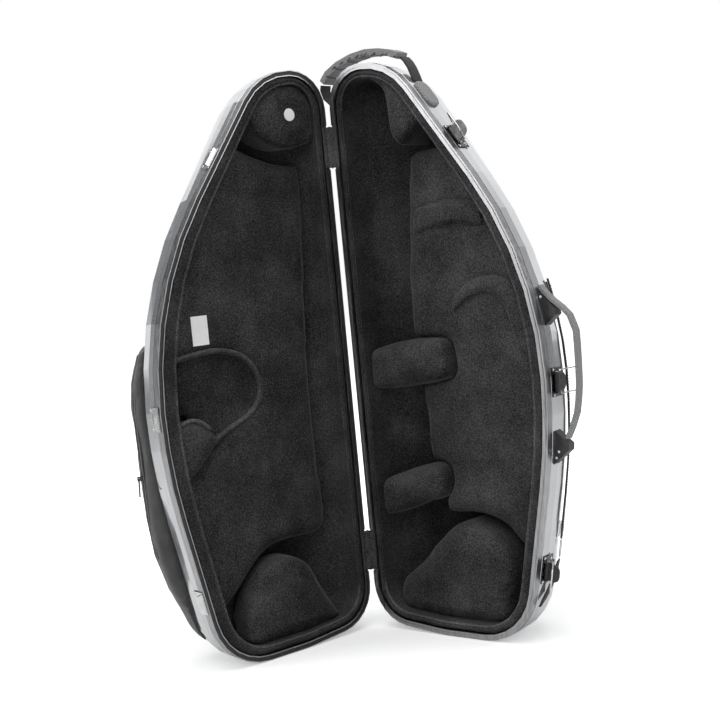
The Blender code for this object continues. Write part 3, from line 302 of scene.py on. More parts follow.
def label_skin():
    skin = Skin("label_skin", grey(0.86), 0.55)
    fibre = skin.noise(420, 4, 0.7)
    skin.tint(fibre, (0.3, grey(0.80, 0.01)), (0.7, grey(0.90, 0.005)))
    skin.bump(fibre, 0.00005)
    return skin.material


def thread_skin(name, value):
    skin = Skin(name, grey(value), 0.6, Sheen_Weight=0.2)
    strands = skin.noise(1500, 2, 0.6)
    skin.tint(strands, (0.3, grey(value * 0.6)), (0.7, grey(min(0.9, value * 1.3))))
    skin.bump(strands, 0.0001)
    return skin.material


SILVER = silver_skin()
ALUMINIUM = aluminium_skin()
STEEL = steel_skin("bright_steel_skin")
WIRE = steel_skin("wire_steel_skin", 0.05, 0.12, 0.22)
DARK_STEEL = steel_skin("shaded_steel_skin", 0.60, 0.18, 0.36)
LEVER_GREY = plastic_skin("grey_lever_skin", 0.17, 0.38)
LEVER_BLACK = plastic_skin("black_lever_skin", 0.018, 0.24)
# The rolled edges' plush is paler than the pads': a painted highlight along the raised edges.
RIDGE_HIGHLIGHT_PLUSH = plush_skin("ridge_painted_highlight_skin", 0.016, 0.120)
COVER_CLOTH = plush_skin("cover_cloth_skin", 0.008, 0.105)
RUBBER = rubber_skin()
PLUSH = plush_skin("black_plush_skin")
PAD_PLUSH = plush_skin("pad_plush_skin", 0.005, 0.075)
WEBBING = webbing_skin()
GREY_WEBBING = webbing_skin("grey_webbing_skin", 0.10, 0.46, 0.0016)
CLOTH = cloth_skin()
BLACK_PLASTIC = plastic_skin("black_plastic_skin", 0.028)
WHITE_PLASTIC = plastic_skin("white_rivet_skin", 0.72, 0.38)
LABEL = label_skin()
PALE_THREAD = thread_skin("grey_thread_skin", 0.42)

BY_SLOT = {
    "silver_laminate": SILVER, "aluminium": ALUMINIUM, "black_rubber": RUBBER, "black_plush": PLUSH,
    "black_plastic": BLACK_PLASTIC, "bright_steel": STEEL, "black_webbing": WEBBING, "pocket_fabric": CLOTH,
    "white_label": LABEL,
}


def set_skin(obj, material):
    obj.data.materials.clear()
    obj.data.materials.append(material)


BY_NAME = {
    "zip_puller": DARK_STEEL, "zip_slider": DARK_STEEL, "latch_upper_lever": LEVER_GREY,
    "latch_middle_lever": LEVER_BLACK, "latch_lower_lever": LEVER_BLACK, "top_handle_patch_fore": GREY_WEBBING,
}
for part in frame["record"]["subparts"]:
    set_skin(NODES[part["node"]], BY_SLOT[part["material_slot"]])
for name, node in NODES.items():
    if name in BY_NAME:
        set_skin(node, BY_NAME[name])
    elif name.endswith("_bail"):
        set_skin(node, WIRE)
    elif name.endswith("_plate"):
        set_skin(node, DARK_STEEL)


# Making pieces

WELD = 0.00002              # corners nearer than this are one
CLOTH_FRAMES = 14
HELD_MARGIN = 0.022         # how wide the rise is round a piece that holds its pad down
LAID_ON_PADS = ("lid_label", "lid_stud")


def link(name, mesh, material, body=None):
    """A new object in the scene, on its body where that is given."""
    obj = bpy.data.objects.new(name, mesh)
    scene.collection.objects.link(obj)
    if material:
        mesh.materials.clear()
        mesh.materials.append(material)
    if body:
        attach(obj, body)
    return obj


def settle(obj):
    """Makes the piece's modifiers part of its mesh."""
    graph = bpy.context.evaluated_depsgraph_get()
    mesh = bpy.data.meshes.new_from_object(obj.evaluated_get(graph))
    obj.modifiers.clear()
    old = obj.data
    obj.data = mesh
    bpy.data.meshes.remove(old)


def copy_of(node, name, material):
    """A welded copy of a CAD node's mesh, on its own."""
    obj = link(name, NODES[node].data.copy(), material)
    weld = obj.modifiers.new("weld", "WELD")
    weld.merge_threshold = WELD
    settle(obj)
    return obj


def coordinates(mesh):
    """A mesh's vertices, as rows."""
    found = np.empty(len(mesh.vertices) * 3)
    mesh.vertices.foreach_get("co", found)
    return found.reshape(-1, 3)


def placed(obj):
    """The vertices' places in the scene."""
    matrix = np.array(obj.matrix_world)
    return coordinates(obj.data) @ matrix[:3, :3].T + matrix[:3, 3]


def held_down(obj):
    """0 under the card and the stud that lie on the lid's pads, rising to 1 away from them."""
    free = np.ones((len(obj.data.vertices), 1))
    for name in LAID_ON_PADS:
        piece = placed(NODES[name])
        middle = (piece.min(axis=0) + piece.max(axis=0)) / 2
        radius = np.linalg.norm(piece - middle, axis=1).max()
        apart = np.linalg.norm(placed(obj) - middle, axis=1, keepdims=True) - radius
        free = np.minimum(free, np.clip(apart / HELD_MARGIN, 0, 1))
    return free


def inflate(obj, pressure, cap):
    """Swells a closed piece as cloth under pressure, no point moving further than cap."""
    cap = cap * held_down(obj)
    rest = coordinates(obj.data)
    cloth = obj.modifiers.new("cloth", "CLOTH")
    cloth.settings.use_pressure = True
    cloth.settings.uniform_pressure_force = pressure
    cloth.settings.effector_weights.gravity = 0
    cloth.settings.quality = 3
    cloth.settings.tension_stiffness = 12
    cloth.settings.bending_stiffness = 1.5
    cloth.point_cache.frame_start = 1
    cloth.point_cache.frame_end = CLOTH_FRAMES
    for number in range(1, CLOTH_FRAMES + 1):
        scene.frame_set(number)
    graph = bpy.context.evaluated_depsgraph_get()
    swollen = coordinates(obj.evaluated_get(graph).data)
    obj.modifiers.remove(cloth)
    scene.frame_set(1)
    move = swollen - rest
    far = np.linalg.norm(move, axis=1, keepdims=True)
    move *= np.minimum(1, cap / np.maximum(far, 1e-9))
    obj.data.vertices.foreach_set("co", (rest + move).ravel())
    obj.data.update()


def lumps(obj, size, strength, name):
    """Low, wide unevenness."""
    texture = bpy.data.textures.new(name, "CLOUDS")
    texture.noise_scale = size
    texture.noise_depth = 2
    displace = obj.modifiers.new("lumps", "DISPLACE")
    displace.texture = texture
    displace.texture_coords = "GLOBAL"
    displace.strength = strength
    displace.mid_level = 0.5


def soften(obj, voxel, rounds):
    """Even faces and rounded edges."""
    remesh = obj.modifiers.new("even", "REMESH")
    remesh.mode = "VOXEL"
    remesh.voxel_size = voxel
    smooth = obj.modifiers.new("smooth", "SMOOTH")
    smooth.factor = 0.5
    smooth.iterations = rounds
    settle(obj)


def refine(obj):
    """Rounder and smoothly shaded."""
    finer = obj.modifiers.new("finer", "SUBSURF")
    finer.levels = finer.render_levels = 1
    settle(obj)
    obj.data.shade_smooth()


# Grain of the remeshed pads, and how many times each is smoothed
PAD_VOXEL, PAD_ROUNDS = 0.0036, 16
FLOOR_VOXEL, BASE_FLOOR_ROUNDS, LID_FLOOR_ROUNDS = 0.0055, 24, 34
LINER_VOXEL, LINER_ROUNDS = 0.0040, 5
FLOOR_PRESSURE, FLOOR_CAP = 3.0, 0.002      # the floor pads swell less than the others
PAD_LUMPS = 0.045                           # how wide the pads' unevenness is


def padded(node, body, voxel, rounds, pressure=4.0, cap=0.003, material=PAD_PLUSH, bumps=0.0016):
    """A plush pad from its CAD solid, swollen as cloth by its pressure up to its cap."""
    obj = copy_of(node, node + "_cover", material)
    soften(obj, voxel, rounds)
    if pressure:
        inflate(obj, pressure, cap)
    lumps(obj, PAD_LUMPS, bumps, node + "_lumps")
    refine(obj)
    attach(obj, body)
    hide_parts(node)


for node in ("base_top_pad", "base_ledge_upper", "base_ledge_lower", "base_key_pad", "base_bulge", "base_bow_pad"):
    padded(node, "base", PAD_VOXEL, PAD_ROUNDS)
for node in ("lid_top_pad", "lid_wedge_pad", "lid_heel_pad"):
    padded(node, "lid", PAD_VOXEL, PAD_ROUNDS)
padded("base_floor_pad", "base", FLOOR_VOXEL, BASE_FLOOR_ROUNDS, FLOOR_PRESSURE, FLOOR_CAP)
padded("lid_floor_pad", "lid", FLOOR_VOXEL, LID_FLOOR_ROUNDS, FLOOR_PRESSURE, FLOOR_CAP)
for half in ("base", "lid"):
    padded(half + "_liner", half, LINER_VOXEL, LINER_ROUNDS, 0, material=PLUSH, bumps=0.0008)


# Bevels' widths, and the webbing's unevenness: how wide and how strong
STRAP_EDGE, BOW_EDGE, GRIP_EDGE, TAPE_EDGE = 0.0006, 0.0009, 0.0012, 0.0003
WEB_LUMPS = (0.006, 0.0003)


def webbing(node, body, material, width=STRAP_EDGE):
    """A woven piece in the CAD solid's form, with rounded edges and a slightly uneven surface."""
    obj = copy_of(node, node + "_weave", material)
    edge = obj.modifiers.new("edge", "BEVEL")
    edge.width = width
    edge.segments = 2
    edge.limit_method = "ANGLE"
    edge.angle_limit = math.radians(35)
    finer = obj.modifiers.new("finer", "SUBSURF")
    finer.subdivision_type = "SIMPLE"
    finer.levels = finer.render_levels = 2
    lumps(obj, *WEB_LUMPS, node + "_lumps")
    settle(obj)
    obj.data.shade_smooth()
    obj.data.set_sharp_from_angle(angle=math.radians(40))
    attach(obj, body)
    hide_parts(node)


webbing("side_handle_bow", "base", GREY_WEBBING, BOW_EDGE)
webbing("top_handle_grip", "base", GREY_WEBBING, GRIP_EDGE)
for node in ("top_handle_strap_rear", "top_handle_strap_fore", "top_handle_patch_rear", "back_strap",
             "back_strap_tail"):
    webbing(node, "base", WEBBING)


# Hinge covers: one ribbed strip of cloth across both halves at each hinge

COVER_LENGTH, COVER_ROWS, COVER_THICKNESS = 0.060, 49, 0.0009
COVER_RIB = 0.00022     # how far every other row stands out
COVER_SIDE = ((0.0075, 0.0014), (0.0055, 0.0013), (0.0030, 0.0012), (0.0006, 0.0012))   # across the rim, into the half
COVER_FOLD = ((0.0021, -0.0036), (0, -0.0042), (-0.0021, -0.0036))      # in front of the knuckles, from the hinge axis
COVER_TOPS = {"lower": 0.179 * LENGTH - 0.002, "upper": 0.903 * LENGTH - 0.002}


def hinge_cover(where, high):
    """A strip whose section runs from the base's rim, in front of the knuckles, to the lid's rim."""
    points = [at("base", u, 0, w) for u, w in COVER_SIDE]
    points += [SHIFT + Vector((x, y, 0)) for x, y in COVER_FOLD]
    points += [at("lid", u, 0, w) for u, w in reversed(COVER_SIDE)]
    bm = bmesh.new()
    grid = []
    for i in range(COVER_ROWS):
        z = high - COVER_LENGTH + COVER_LENGTH * i / (COVER_ROWS - 1)
        swell = COVER_RIB * (-1) ** i
        row = []
        for k, point in enumerate(points):
            before = points[max(0, k - 1)]
            after = points[min(len(points) - 1, k + 1)]
            along = (after - before).normalized()
            out = Vector((along.y, -along.x, 0))
            if out.y > 0:
                out = -out
            row.append(bm.verts.new(point + out * swell + Vector((0, 0, z))))
        grid.append(row)
    for a, b in zip(grid, grid[1:]):
        for k in range(len(points) - 1):
            bm.faces.new((a[k], a[k + 1], b[k + 1], b[k]))
    mesh = bpy.data.meshes.new(f"hinge_{where}_strip")
    bm.to_mesh(mesh)
    bm.free()
    obj = link(f"hinge_{where}_strip", mesh, COVER_CLOTH)
    thick = obj.modifiers.new("thick", "SOLIDIFY")
    thick.thickness = COVER_THICKNESS
    thick.offset = 0
    settle(obj)
    obj.data.shade_smooth()
    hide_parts(f"hinge_{where}_base_cover", f"hinge_{where}_lid_cover")
    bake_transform(obj)


for where, high in COVER_TOPS.items():
    hinge_cover(where, high)


# Pocket and zip

POCKET_SHOULDER = 0.098     # how deep into the lid the pocket starts to be flattened
POCKET_FLATTENING = 0.68    # what is kept of its depth beyond that
POCKET_VOXEL, POCKET_ROUNDS = 0.0050, 3
POCKET_PRESSURE, POCKET_CAP = 3.0, 0.003
POCKET_FOLDS = (0.060, 0.006)       # how wide and how deep


def pocket():
    """The bag on the lid's back: a slack closed cushion."""
    obj = copy_of("pocket", "pocket_bag", CLOTH)
    into = HALVES["lid"].inverted()
    for vertex in obj.data.vertices:
        place = into @ vertex.co
        beyond = -place.y - POCKET_SHOULDER
        if beyond > 0:
            place.y = -(POCKET_SHOULDER + beyond * POCKET_FLATTENING)
            vertex.co = HALVES["lid"] @ place
    soften(obj, POCKET_VOXEL, POCKET_ROUNDS)
    inflate(obj, POCKET_PRESSURE, POCKET_CAP)
    lumps(obj, *POCKET_FOLDS, "pocket_folds")
    refine(obj)
    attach(obj, "lid")
    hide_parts("pocket")


pocket()


def slices(node, low, high, step):
    """Where level planes cut a solid: [(middle, wide direction, half width)]."""
    mesh = NODES[node].data
    points = coordinates(mesh)
    edges = np.empty(len(mesh.edges) * 2, np.int32)
    mesh.edges.foreach_get("vertices", edges)
    a, b = points[edges.reshape(-1, 2)[:, 0]], points[edges.reshape(-1, 2)[:, 1]]
    found = []
    z = low
    while z < high:
        hit = (a[:, 2] - z) * (b[:, 2] - z) < 0
        share = ((z - a[hit, 2]) / (b[hit, 2] - a[hit, 2]))[:, None]
        cut = a[hit] + (b[hit] - a[hit]) * share
        if len(cut) > 3:
            middle = (cut.min(axis=0) + cut.max(axis=0)) / 2
            offset = cut - cut.mean(axis=0)
            wide = np.linalg.svd(offset[:, :2])[2][0]
            reach = np.abs(offset[:, :2] @ wide).max()
            found.append((Vector(middle), Vector((*wide, 0)), float(reach)))
        z += step
    return found


def small_box(bm, middle, x, y, z):
    """A block with half sides x, y and z, given as vectors."""
    corners = [bm.verts.new(middle + x * i + y * j + z * k) for i in (-1, 1) for j in (-1, 1) for k in (-1, 1)]
    for face in ((0, 1, 3, 2), (4, 6, 7, 5), (0, 4, 5, 1), (2, 3, 7, 6), (0, 2, 6, 4), (1, 5, 7, 3)):
        bm.faces.new([corners[i] for i in face])


def finish_mesh(bm, name, material, body, smooth=False):
    """Puts a drawn mesh into the scene as a piece."""
    bmesh.ops.recalc_face_normals(bm, faces=bm.faces)
    mesh = bpy.data.meshes.new(name)
    bm.to_mesh(mesh)
    bm.free()
    if smooth:
        mesh.shade_smooth()
        mesh.set_sharp_from_angle(angle=math.radians(50))
    link(name, mesh, material, body)


ZIP_END = 0.004             # the tape's ends without teeth
TOOTH_STEP = 0.0013
TOOTH_HALF = (0.0014, 0.0005, 0.0006)       # across the tape, along it and out of it
TOOTH_SIDE, TOOTH_RISE = 0.0009, 0.0011     # a tooth's middle from the tape's: to its side by turns, and outward


def zip_teeth():
    """The tape with its woven edge, and the teeth down its middle."""
    webbing("pocket_zip_tape", "lid", CLOTH, TAPE_EDGE)
    low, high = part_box("pocket_zip_tape")
    pocket_low, pocket_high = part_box("pocket")
    centre = (pocket_low + pocket_high) / 2
    bm = bmesh.new()
    cuts = slices("pocket_zip_tape", low.z + ZIP_END, high.z - ZIP_END, TOOTH_STEP)
    for i, (middle, wide, reach) in enumerate(cuts):
        after = cuts[min(i + 1, len(cuts) - 1)][0]
        before = cuts[max(i - 1, 0)][0]
        along = (after - before).normalized()
        out = wide.cross(along).normalized()
        if out.dot(middle - centre) < 0:
            out = -out
        side = TOOTH_SIDE if i % 2 else -TOOTH_SIDE
        across, up, proud = TOOTH_HALF
        small_box(bm, middle + out * TOOTH_RISE + wide * side, wide * across, along * up, out * proud)
    finish_mesh(bm, "zip_teeth", DARK_STEEL, "lid")


zip_teeth()


# Rivets and stitches

DOME_SIDES = 16
DOME_PROFILE = ((1.0, 0.0), (1.0, 0.25), (0.9, 0.6), (0.65, 0.88), (0.3, 1.0))      # radius and height, as shares


def domes(name, places, material, body, slot, radius, height):
    """Rivet heads: (point, outward direction) each."""
    bm = bmesh.new()
    for point, out in places:
        out = out.normalized()
        across = out.orthogonal().normalized()
        other = out.cross(across)
        rings = []
        for share, rise in DOME_PROFILE:
            ring = []
            for k in range(DOME_SIDES):
                angle = 2 * math.pi * k / DOME_SIDES
                spoke = across * math.cos(angle) + other * math.sin(angle)
                ring.append(bm.verts.new(point + spoke * radius * share + out * height * rise))
            rings.append(ring)
        for a, b in zip(rings, rings[1:]):
            for k in range(DOME_SIDES):
                j = (k + 1) % DOME_SIDES
                bm.faces.new((a[k], a[j], b[j], b[k]))
        bm.faces.new(rings[-1])
        bm.faces.new(rings[0][::-1])
    finish_mesh(bm, name, material, body, True)


STITCH_LENGTH, STITCH_GAP, STITCH_HALF = 0.0026, 0.0014, 0.0003


def stitches(name, runs, material, body):
    """Rows of thread: each run is a path and the direction that it lies proud of its cloth."""
    bm = bmesh.new()
    for path, out in runs:
        walked = 0.0
        for a, b in zip(path, path[1:]):
            side = b - a
            reach = side.length
            along = side.normalized()
            across = along.cross(out).normalized()
            while walked + STITCH_LENGTH < reach:
                middle = a + along * (walked + STITCH_LENGTH / 2)
                small_box(bm, middle + out * STITCH_HALF * 0.4, along * STITCH_LENGTH / 2, across * STITCH_HALF,
                          out * STITCH_HALF)
                walked += STITCH_LENGTH + STITCH_GAP
            walked = max(0.0, walked - reach)
    finish_mesh(bm, name, material, body)


# Latches: small hardware on the CAD plates and keepers

PIN_DEPTH, PIN_RISE = 0.0200, 0.0056        # a lever's pin from its latch's origin: into the half, off the wall
PIN_END = 0.0148                            # the pin's end, along the wall
PLATE_RIVETS = ((0.0350, 0.0145), (0.0178, 0.0172))     # into the half and to each side
PLATE_RISE, PLATE_RIB_RISE = 0.0018, 0.0022
PLATE_RIBS = (0.0262, 0.0290, 0.0318)
RIB_HALF = (0.0007, 0.0105, 0.0005)
KEEPER_RIVETS = (0.0205, 0.0125)
RIVET_SIZE, PIN_HEAD_SIZE, GUSSET_RIVET_SIZE = (0.0022, 0.0009), (0.0021, 0.0007), (0.0019, 0.0008)


def mirrored(vector):
    """A direction on the base's wall, as it is on the lid's."""
    return Vector((-vector.x, vector.y, vector.z))


def latch_details(where):
    """A latch's rivets, pin heads and pressed ribs, and the rivets of its keeper on the lid."""
    joint = JOINTS[f"latch_{where}_lever_pivot"]
    depth = HALVES["base"].to_3x3() @ Vector((0, 1, 0))
    along = -Vector(joint["axis"])
    out = depth.cross(along)
    origin = Vector(joint["pos_m"]) - depth * PIN_DEPTH - out * PIN_RISE

    plate = [(origin + depth * deep + along * y + out * PLATE_RISE, out)
             for deep, side in PLATE_RIVETS for y in (-side, side)]
    domes(f"latch_{where}_rivets", plate, STEEL, "base", "bright_steel", *RIVET_SIZE)
    pins = [(origin + depth * PIN_DEPTH + along * y * PIN_END + out * PIN_RISE, along * y) for y in (-1, 1)]
    domes(f"latch_{where}_pin_heads", pins, STEEL, "base", "bright_steel", *PIN_HEAD_SIZE)

    bm = bmesh.new()
    for deep in PLATE_RIBS:
        small_box(bm, origin + depth * deep + out * PLATE_RIB_RISE, depth * RIB_HALF[0], along * RIB_HALF[1],
                  out * RIB_HALF[2])
    finish_mesh(bm, f"latch_{where}_ribs", STEEL, "base")

    base = Vector((SHIFT.x * 2 - origin.x, origin.y, origin.z))
    depth, along, out = mirrored(depth), mirrored(along), mirrored(out)
    deep, side = KEEPER_RIVETS
    heads = [(base + depth * deep + along * y + out * PLATE_RISE, out) for y in (-side, side)]
    domes(f"keeper_{where}_rivets", heads, STEEL, "lid", "bright_steel", *RIVET_SIZE)


for where in ("upper", "middle", "lower"):
    latch_details(where)


# Rivets of the side handle's ends, stitching, the rolled edges of the lining with their painted highlight, and the
# painted shade of the grip's slots

def span_at(face, across, z):
    """The least and greatest reach along a direction of a flat outline's edges at one height."""
    found = []
    for a in face:
        for b in face:
            if a[2] < z <= b[2]:
                share = (z - a[2]) / (b[2] - a[2])
                found.append(float((a + (b - a) * share) @ across))
    return min(found), max(found)


GUSSET_RIVETS = {"side_gusset_upper": (0.80,), "side_gusset_lower": (0.38, 0.20)}     # as shares of the height
GUSSET_RIVET_ACROSS = 0.36      # as a share of the width at that height
FLAT = 0.0004                   # how far apart points of one flat face may lie


def gusset_rivets():
    """White heads on the gussets' faces that look out of the base."""
    places = []
    turn = HALVES["base"].to_3x3()
    across, toward = turn @ Vector((1, 0, 0)), turn @ Vector((0, -1, 0))
    for node, shares in GUSSET_RIVETS.items():
        points = coordinates(NODES[node].data)
        reach = points @ np.array(toward)
        face = points[reach > reach.max() - FLAT]
        low, high = face.min(axis=0), face.max(axis=0)
        for share in shares:
            z = low[2] + (high[2] - low[2]) * share
            inner, outer = span_at(face, np.array(across), z)
            middle = Vector(face.mean(axis=0))
            middle += across * (inner + (outer - inner) * GUSSET_RIVET_ACROSS - middle.dot(across))
            middle.z = z
            places.append((middle + toward * (reach.max() - middle.dot(toward)), toward))
    domes("gusset_rivets", places, WHITE_PLASTIC, "base", "white_label", *GUSSET_RIVET_SIZE)


gusset_rivets()

SEAM_INSET, SEAM_RISE = 0.0016, 0.0016      # from the strap's edge, and off its middle
SEAM_STEP, SEAM_END = 0.0042, 0.006


def edge_stitches(name, node, body, material, facing):
    """Thread along both long edges of a strap's outer face, by level cuts through it."""
    low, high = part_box(node)
    cuts = slices(node, low.z + SEAM_END, high.z - SEAM_END, SEAM_STEP)
    runs = []
    for side in (-1, 1):
        path = []
        for middle, wide, reach in cuts:
            out = wide.cross(Vector((0, 0, 1)))
            if out.dot(facing) < 0:
                out = -out
            if wide.y < 0:
                wide = -wide
            path.append(middle + wide * side * max(0.001, reach - SEAM_INSET) + out * SEAM_RISE)
        runs.append((path, facing))
    stitches(name, runs, material, body)


OUTWARD = HALVES["base"].to_3x3() @ Vector((1, 0, 0))
edge_stitches("back_strap_stitches", "back_strap", "base", PALE_THREAD, OUTWARD)


def smooth_path(points, rounds=3):
    """Corners cut away until the path is smooth."""
    for _ in range(rounds):
        found = [points[0]]
        for a, b in zip(points, points[1:]):
            found += [a.lerp(b, 0.25), a.lerp(b, 0.75)]
        points = found + [points[-1]]
    return points


def tube(name, half, path, radius):
    """A round roll of plush that thins out at both ends, in a paler plush that paints a highlight along the raised
    edge.
    """
    curve = bpy.data.curves.new(name, "CURVE")
    curve.dimensions = "3D"
    curve.bevel_depth = radius
    curve.bevel_resolution = 4
    curve.use_fill_caps = True
    spline = curve.splines.new("POLY")
    spline.points.add(len(path) - 1)
    for i, (point, here) in enumerate(zip(spline.points, path)):
        point.co = (*here, 1)
        point.radius = min(1.0, 0.15 + min(i, len(path) - 1 - i) * 0.18)
    curve.materials.append(RIDGE_HIGHLIGHT_PLUSH)
    obj = bpy.data.objects.new(name, curve)
    scene.collection.objects.link(obj)
    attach(obj, half)


def roll(name, half, corners, depth, radius):
    """The soft rolled edge that stands up a little round a hollow in the padding."""
    tube(name, half, smooth_path([at(half, u, z, depth) for u, z in corners]), radius)


LIP_DEPTH = 0.0045      # how deep the shoulder of the lining's lip lies behind the rim's plane
LIP_INSET, LIP_RADIUS = 0.0012, 0.0020


def lip_roll(half):
    """The soft edge all round the lining, just inside the rim, with its ends at the hinge side."""
    into = HALVES[half].inverted()
    side = 1 if half == "base" else -1
    points = [into @ Vector(p) for p in coordinates(NODES[half + "_liner"].data)]
    ring = [p for p in points if abs(p.y * side - LIP_DEPTH) < 0.0002]
    middle = sum(ring, Vector()) / len(ring)
    ring.sort(key=lambda p: math.atan2(p.z - middle.z, p.x - middle.x))
    start = min(range(len(ring)), key=lambda i: (ring[i].x, abs(ring[i].z - LENGTH / 2)))
    ring = ring[start:] + ring[:start + 1]
    inset = Vector((0, side * LIP_INSET, 0))
    tube(half + "_lip_roll", half, [HALVES[half] @ (p + inset) for p in ring], LIP_RADIUS)


for half in ("lid", "base"):
    lip_roll(half)

# Corners of the hollows' edges, across the lid from the hinge and up, and how deep in the lid they lie
RECESS_EDGE = ((0.288, 0.446), (0.262, 0.450), (0.210, 0.456), (0.158, 0.440), (0.136, 0.396), (0.152, 0.358),
               (0.205, 0.337), (0.236, 0.321), (0.262, 0.296), (0.287, 0.277))
WEDGE_EDGE = ((0.246, 0.346), (0.262, 0.360), (0.280, 0.364), (0.294, 0.358))
RECESS_DEPTH, RECESS_RADIUS = 0.0385, 0.0040
WEDGE_DEPTH, WEDGE_RADIUS = 0.0165, 0.0030

roll("bell_recess_roll", "lid", RECESS_EDGE, RECESS_DEPTH, RECESS_RADIUS)
roll("wedge_roll", "lid", WEDGE_EDGE, WEDGE_DEPTH, WEDGE_RADIUS)


# The top handle's grip: its middle line across the base and above it, and the painted shade of its slots
GRIP_ACROSS = (-0.0290, -0.0180, 0.0040, 0.0310, 0.0570, 0.0820, 0.1020, 0.1160)
GRIP_HEIGHT = (-0.0135, -0.0020, 0.0085, 0.0152, 0.0175, 0.0148, 0.0095, 0.0035)
SLOTS, SLOT_FIRST, SLOT_LAST = 7, 0.002, 0.094
SLOT_DROP, SLOT_SINK = 0.0030, 0.0004       # below the middle line, and behind the grip's near face
SLOT_HALF = (0.0011, 0.0036, 0.0009)
LEAN_ACROSS, LEAN_UP = 0.90, 0.43


def grip_slot_painted_shade():
    """The slanted slots down the near face of the grip, drawn as black blocks: painted shade in the slots."""
    into, turn = HALVES["base"].inverted(), HALVES["base"].to_3x3()
    near = min((into @ Vector(p)).y for p in coordinates(NODES["top_handle_grip"].data))
    thin, long, deep = SLOT_HALF
    bm = bmesh.new()
    for i in range(SLOTS):
        u = SLOT_FIRST + (SLOT_LAST - SLOT_FIRST) * i / (SLOTS - 1)
        height = np.interp(u, GRIP_ACROSS, GRIP_HEIGHT)
        middle = HALVES["base"] @ Vector((u, near + SLOT_SINK, LENGTH + height - SLOT_DROP))
        small_box(bm, middle, turn @ Vector((-LEAN_UP, 0, LEAN_ACROSS)) * thin,
                  turn @ Vector((LEAN_ACROSS, 0, LEAN_UP)) * long, turn @ Vector((0, 1, 0)) * deep)
    # Black blocks as painted shade in the grip's slots.
    finish_mesh(bm, "grip_slot_painted_shade", BLACK_PLASTIC, "base")


grip_slot_painted_shade()


# Floor, light and background

def add_node(tree, kind, inputs=None, operation=None):
    """A node whose inputs are given by name or place, as sockets to link or as values; returns its outputs."""
    node = tree.nodes.new(kind)
    if operation:
        node.operation = operation
    for key, value in (inputs or {}).items():
        if isinstance(value, bpy.types.NodeSocket):
            tree.links.new(value, node.inputs[key])
        else:
            node.inputs[key].default_value = value
    return node.outputs


def smooth_step(tree, value, low, high, out_low, out_high):
    outputs = add_node(tree, "ShaderNodeMapRange", {
        "Value": value, "From Min": low, "From Max": high, "To Min": out_low, "To Max": out_high})
    outputs["Result"].node.interpolation_type = "SMOOTHSTEP"
    return outputs["Result"]


def floor():
    """A pale floor that glows to white far from the case, for the camera only, and keeps the case's shadow."""
    obj = bpy.data.objects.new("floor", bpy.data.meshes.new("floor"))
    obj.data.from_pydata([(-9, -9, 0), (9, -9, 0), (9, 9, 0), (-9, 9, 0)], [], [(0, 1, 2, 3)])
    scene.collection.objects.link(obj)
    obj.location.z = -0.0004
    paint = bpy.data.materials.new("floor_paint")
    paint.use_nodes = True
    tree = paint.node_tree
    shader = tree.nodes["Principled BSDF"]
    shader.inputs["Base Color"].default_value = (0.90, 0.90, 0.90, 1)
    shader.inputs["Roughness"].default_value = 0.9
    shader.inputs["Specular IOR Level"].default_value = 0.0
    shader.inputs["Emission Color"].default_value = (1, 1, 1, 1)
    seen = add_node(tree, "ShaderNodeLightPath")["Is Camera Ray"]
    place = add_node(tree, "ShaderNodeTexCoord")["Object"]
    far = add_node(tree, "ShaderNodeVectorMath", {0: place}, "LENGTH")["Value"]
    glow = smooth_step(tree, far, 0.35, 1.1, 0.36, 1.0)
    dim = add_node(tree, "ShaderNodeMath", {0: seen, 1: glow}, "MULTIPLY")[0]
    tree.links.new(dim, shader.inputs["Emission Strength"])
    obj.data.materials.append(paint)


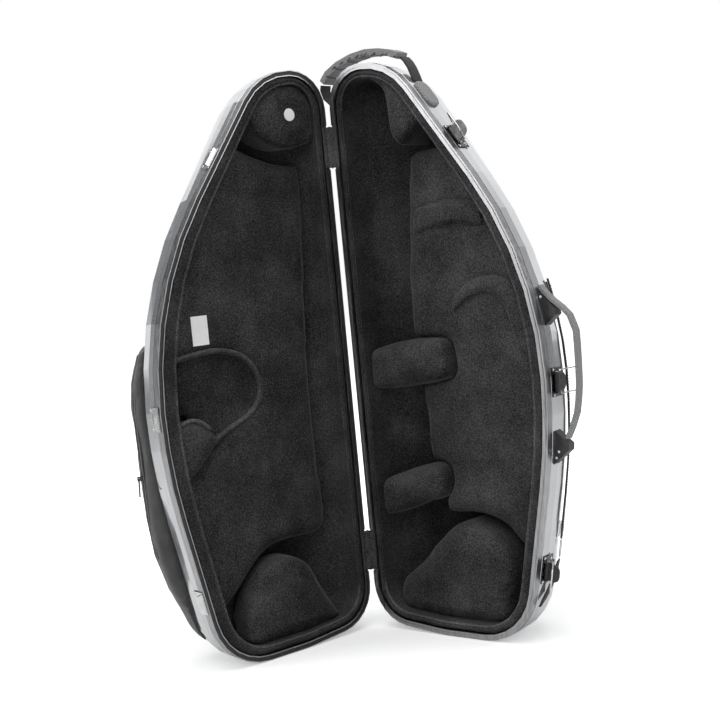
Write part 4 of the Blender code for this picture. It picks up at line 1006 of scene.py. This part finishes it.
def room():
    """White to the camera, a soft grey light, and in reflections white behind the case and dark elsewhere."""
    world = bpy.data.worlds.new("studio")
    scene.world = world
    world.use_nodes = True
    tree = world.node_tree
    soft = tree.nodes["Background"]
    soft.inputs["Color"].default_value = (0.98, 0.99, 1, 1)
    soft.inputs["Strength"].default_value = 0.24
    dark = add_node(tree, "ShaderNodeBackground", {"Color": (0.9, 0.95, 1, 1), "Strength": 0.07})[0]
    white = add_node(tree, "ShaderNodeBackground", {"Color": (1, 1, 1, 1), "Strength": 1.0})[0]
    rays = add_node(tree, "ShaderNodeLightPath")
    way = add_node(tree, "ShaderNodeTexCoord")["Generated"]
    axes = add_node(tree, "ShaderNodeSeparateXYZ", {0: way})
    behind = smooth_step(tree, axes["Y"], 0.22, 0.62, 0.0, 1.0)
    low_down = smooth_step(tree, axes["Z"], 0.10, 0.20, 1.0, 0.12)
    left = add_node(tree, "ShaderNodeMath", {0: axes["X"], 1: -0.55}, "LESS_THAN")[0]
    shade = add_node(tree, "ShaderNodeMix", {"Factor": left, "A": 1.0, "B": low_down})["Result"]
    whiteness = add_node(tree, "ShaderNodeMath", {0: behind, 1: shade}, "MULTIPLY")[0]
    mirror = add_node(tree, "ShaderNodeMath", {0: rays["Is Glossy Ray"], 1: rays["Is Transmission Ray"]}, "MAXIMUM")[0]
    walls = add_node(tree, "ShaderNodeMixShader", {"Fac": whiteness, 1: dark, 2: white})[0]
    light = add_node(tree, "ShaderNodeMixShader", {"Fac": mirror, 1: soft.outputs[0], 2: walls})[0]
    mix = add_node(tree, "ShaderNodeMixShader", {"Fac": rays["Is Camera Ray"], 1: light, 2: white})[0]
    tree.links.new(mix, tree.nodes["World Output"].inputs["Surface"])


def softbox(name, place, target_height, size, power):
    light = bpy.data.lights.new(name, "AREA")
    light.shape = "RECTANGLE"
    light.size, light.size_y = size
    light.energy = power
    obj = bpy.data.objects.new(name, light)
    scene.collection.objects.link(obj)
    obj.location = place
    obj.rotation_euler = (Vector((0, 0, target_height)) - Vector(place)).to_track_quat("-Z", "Y").to_euler()
    return obj


floor()
room()
softbox("overhead", (-0.2, -0.3, 2.7), 0.3, (3.0, 3.0), 62)
softbox("left_box", (-2.3, -0.7, 1.1), 0.45, (0.8, 1.5), 15)
softbox("right_box", (2.3, -0.5, 1.2), 0.45, (0.9, 1.7), 16)
softbox("front_box", (-0.9, -3.2, 2.4), 0.4, (2.6, 1.8), 26).visible_glossy = False
scene.view_settings.view_transform = "Standard"
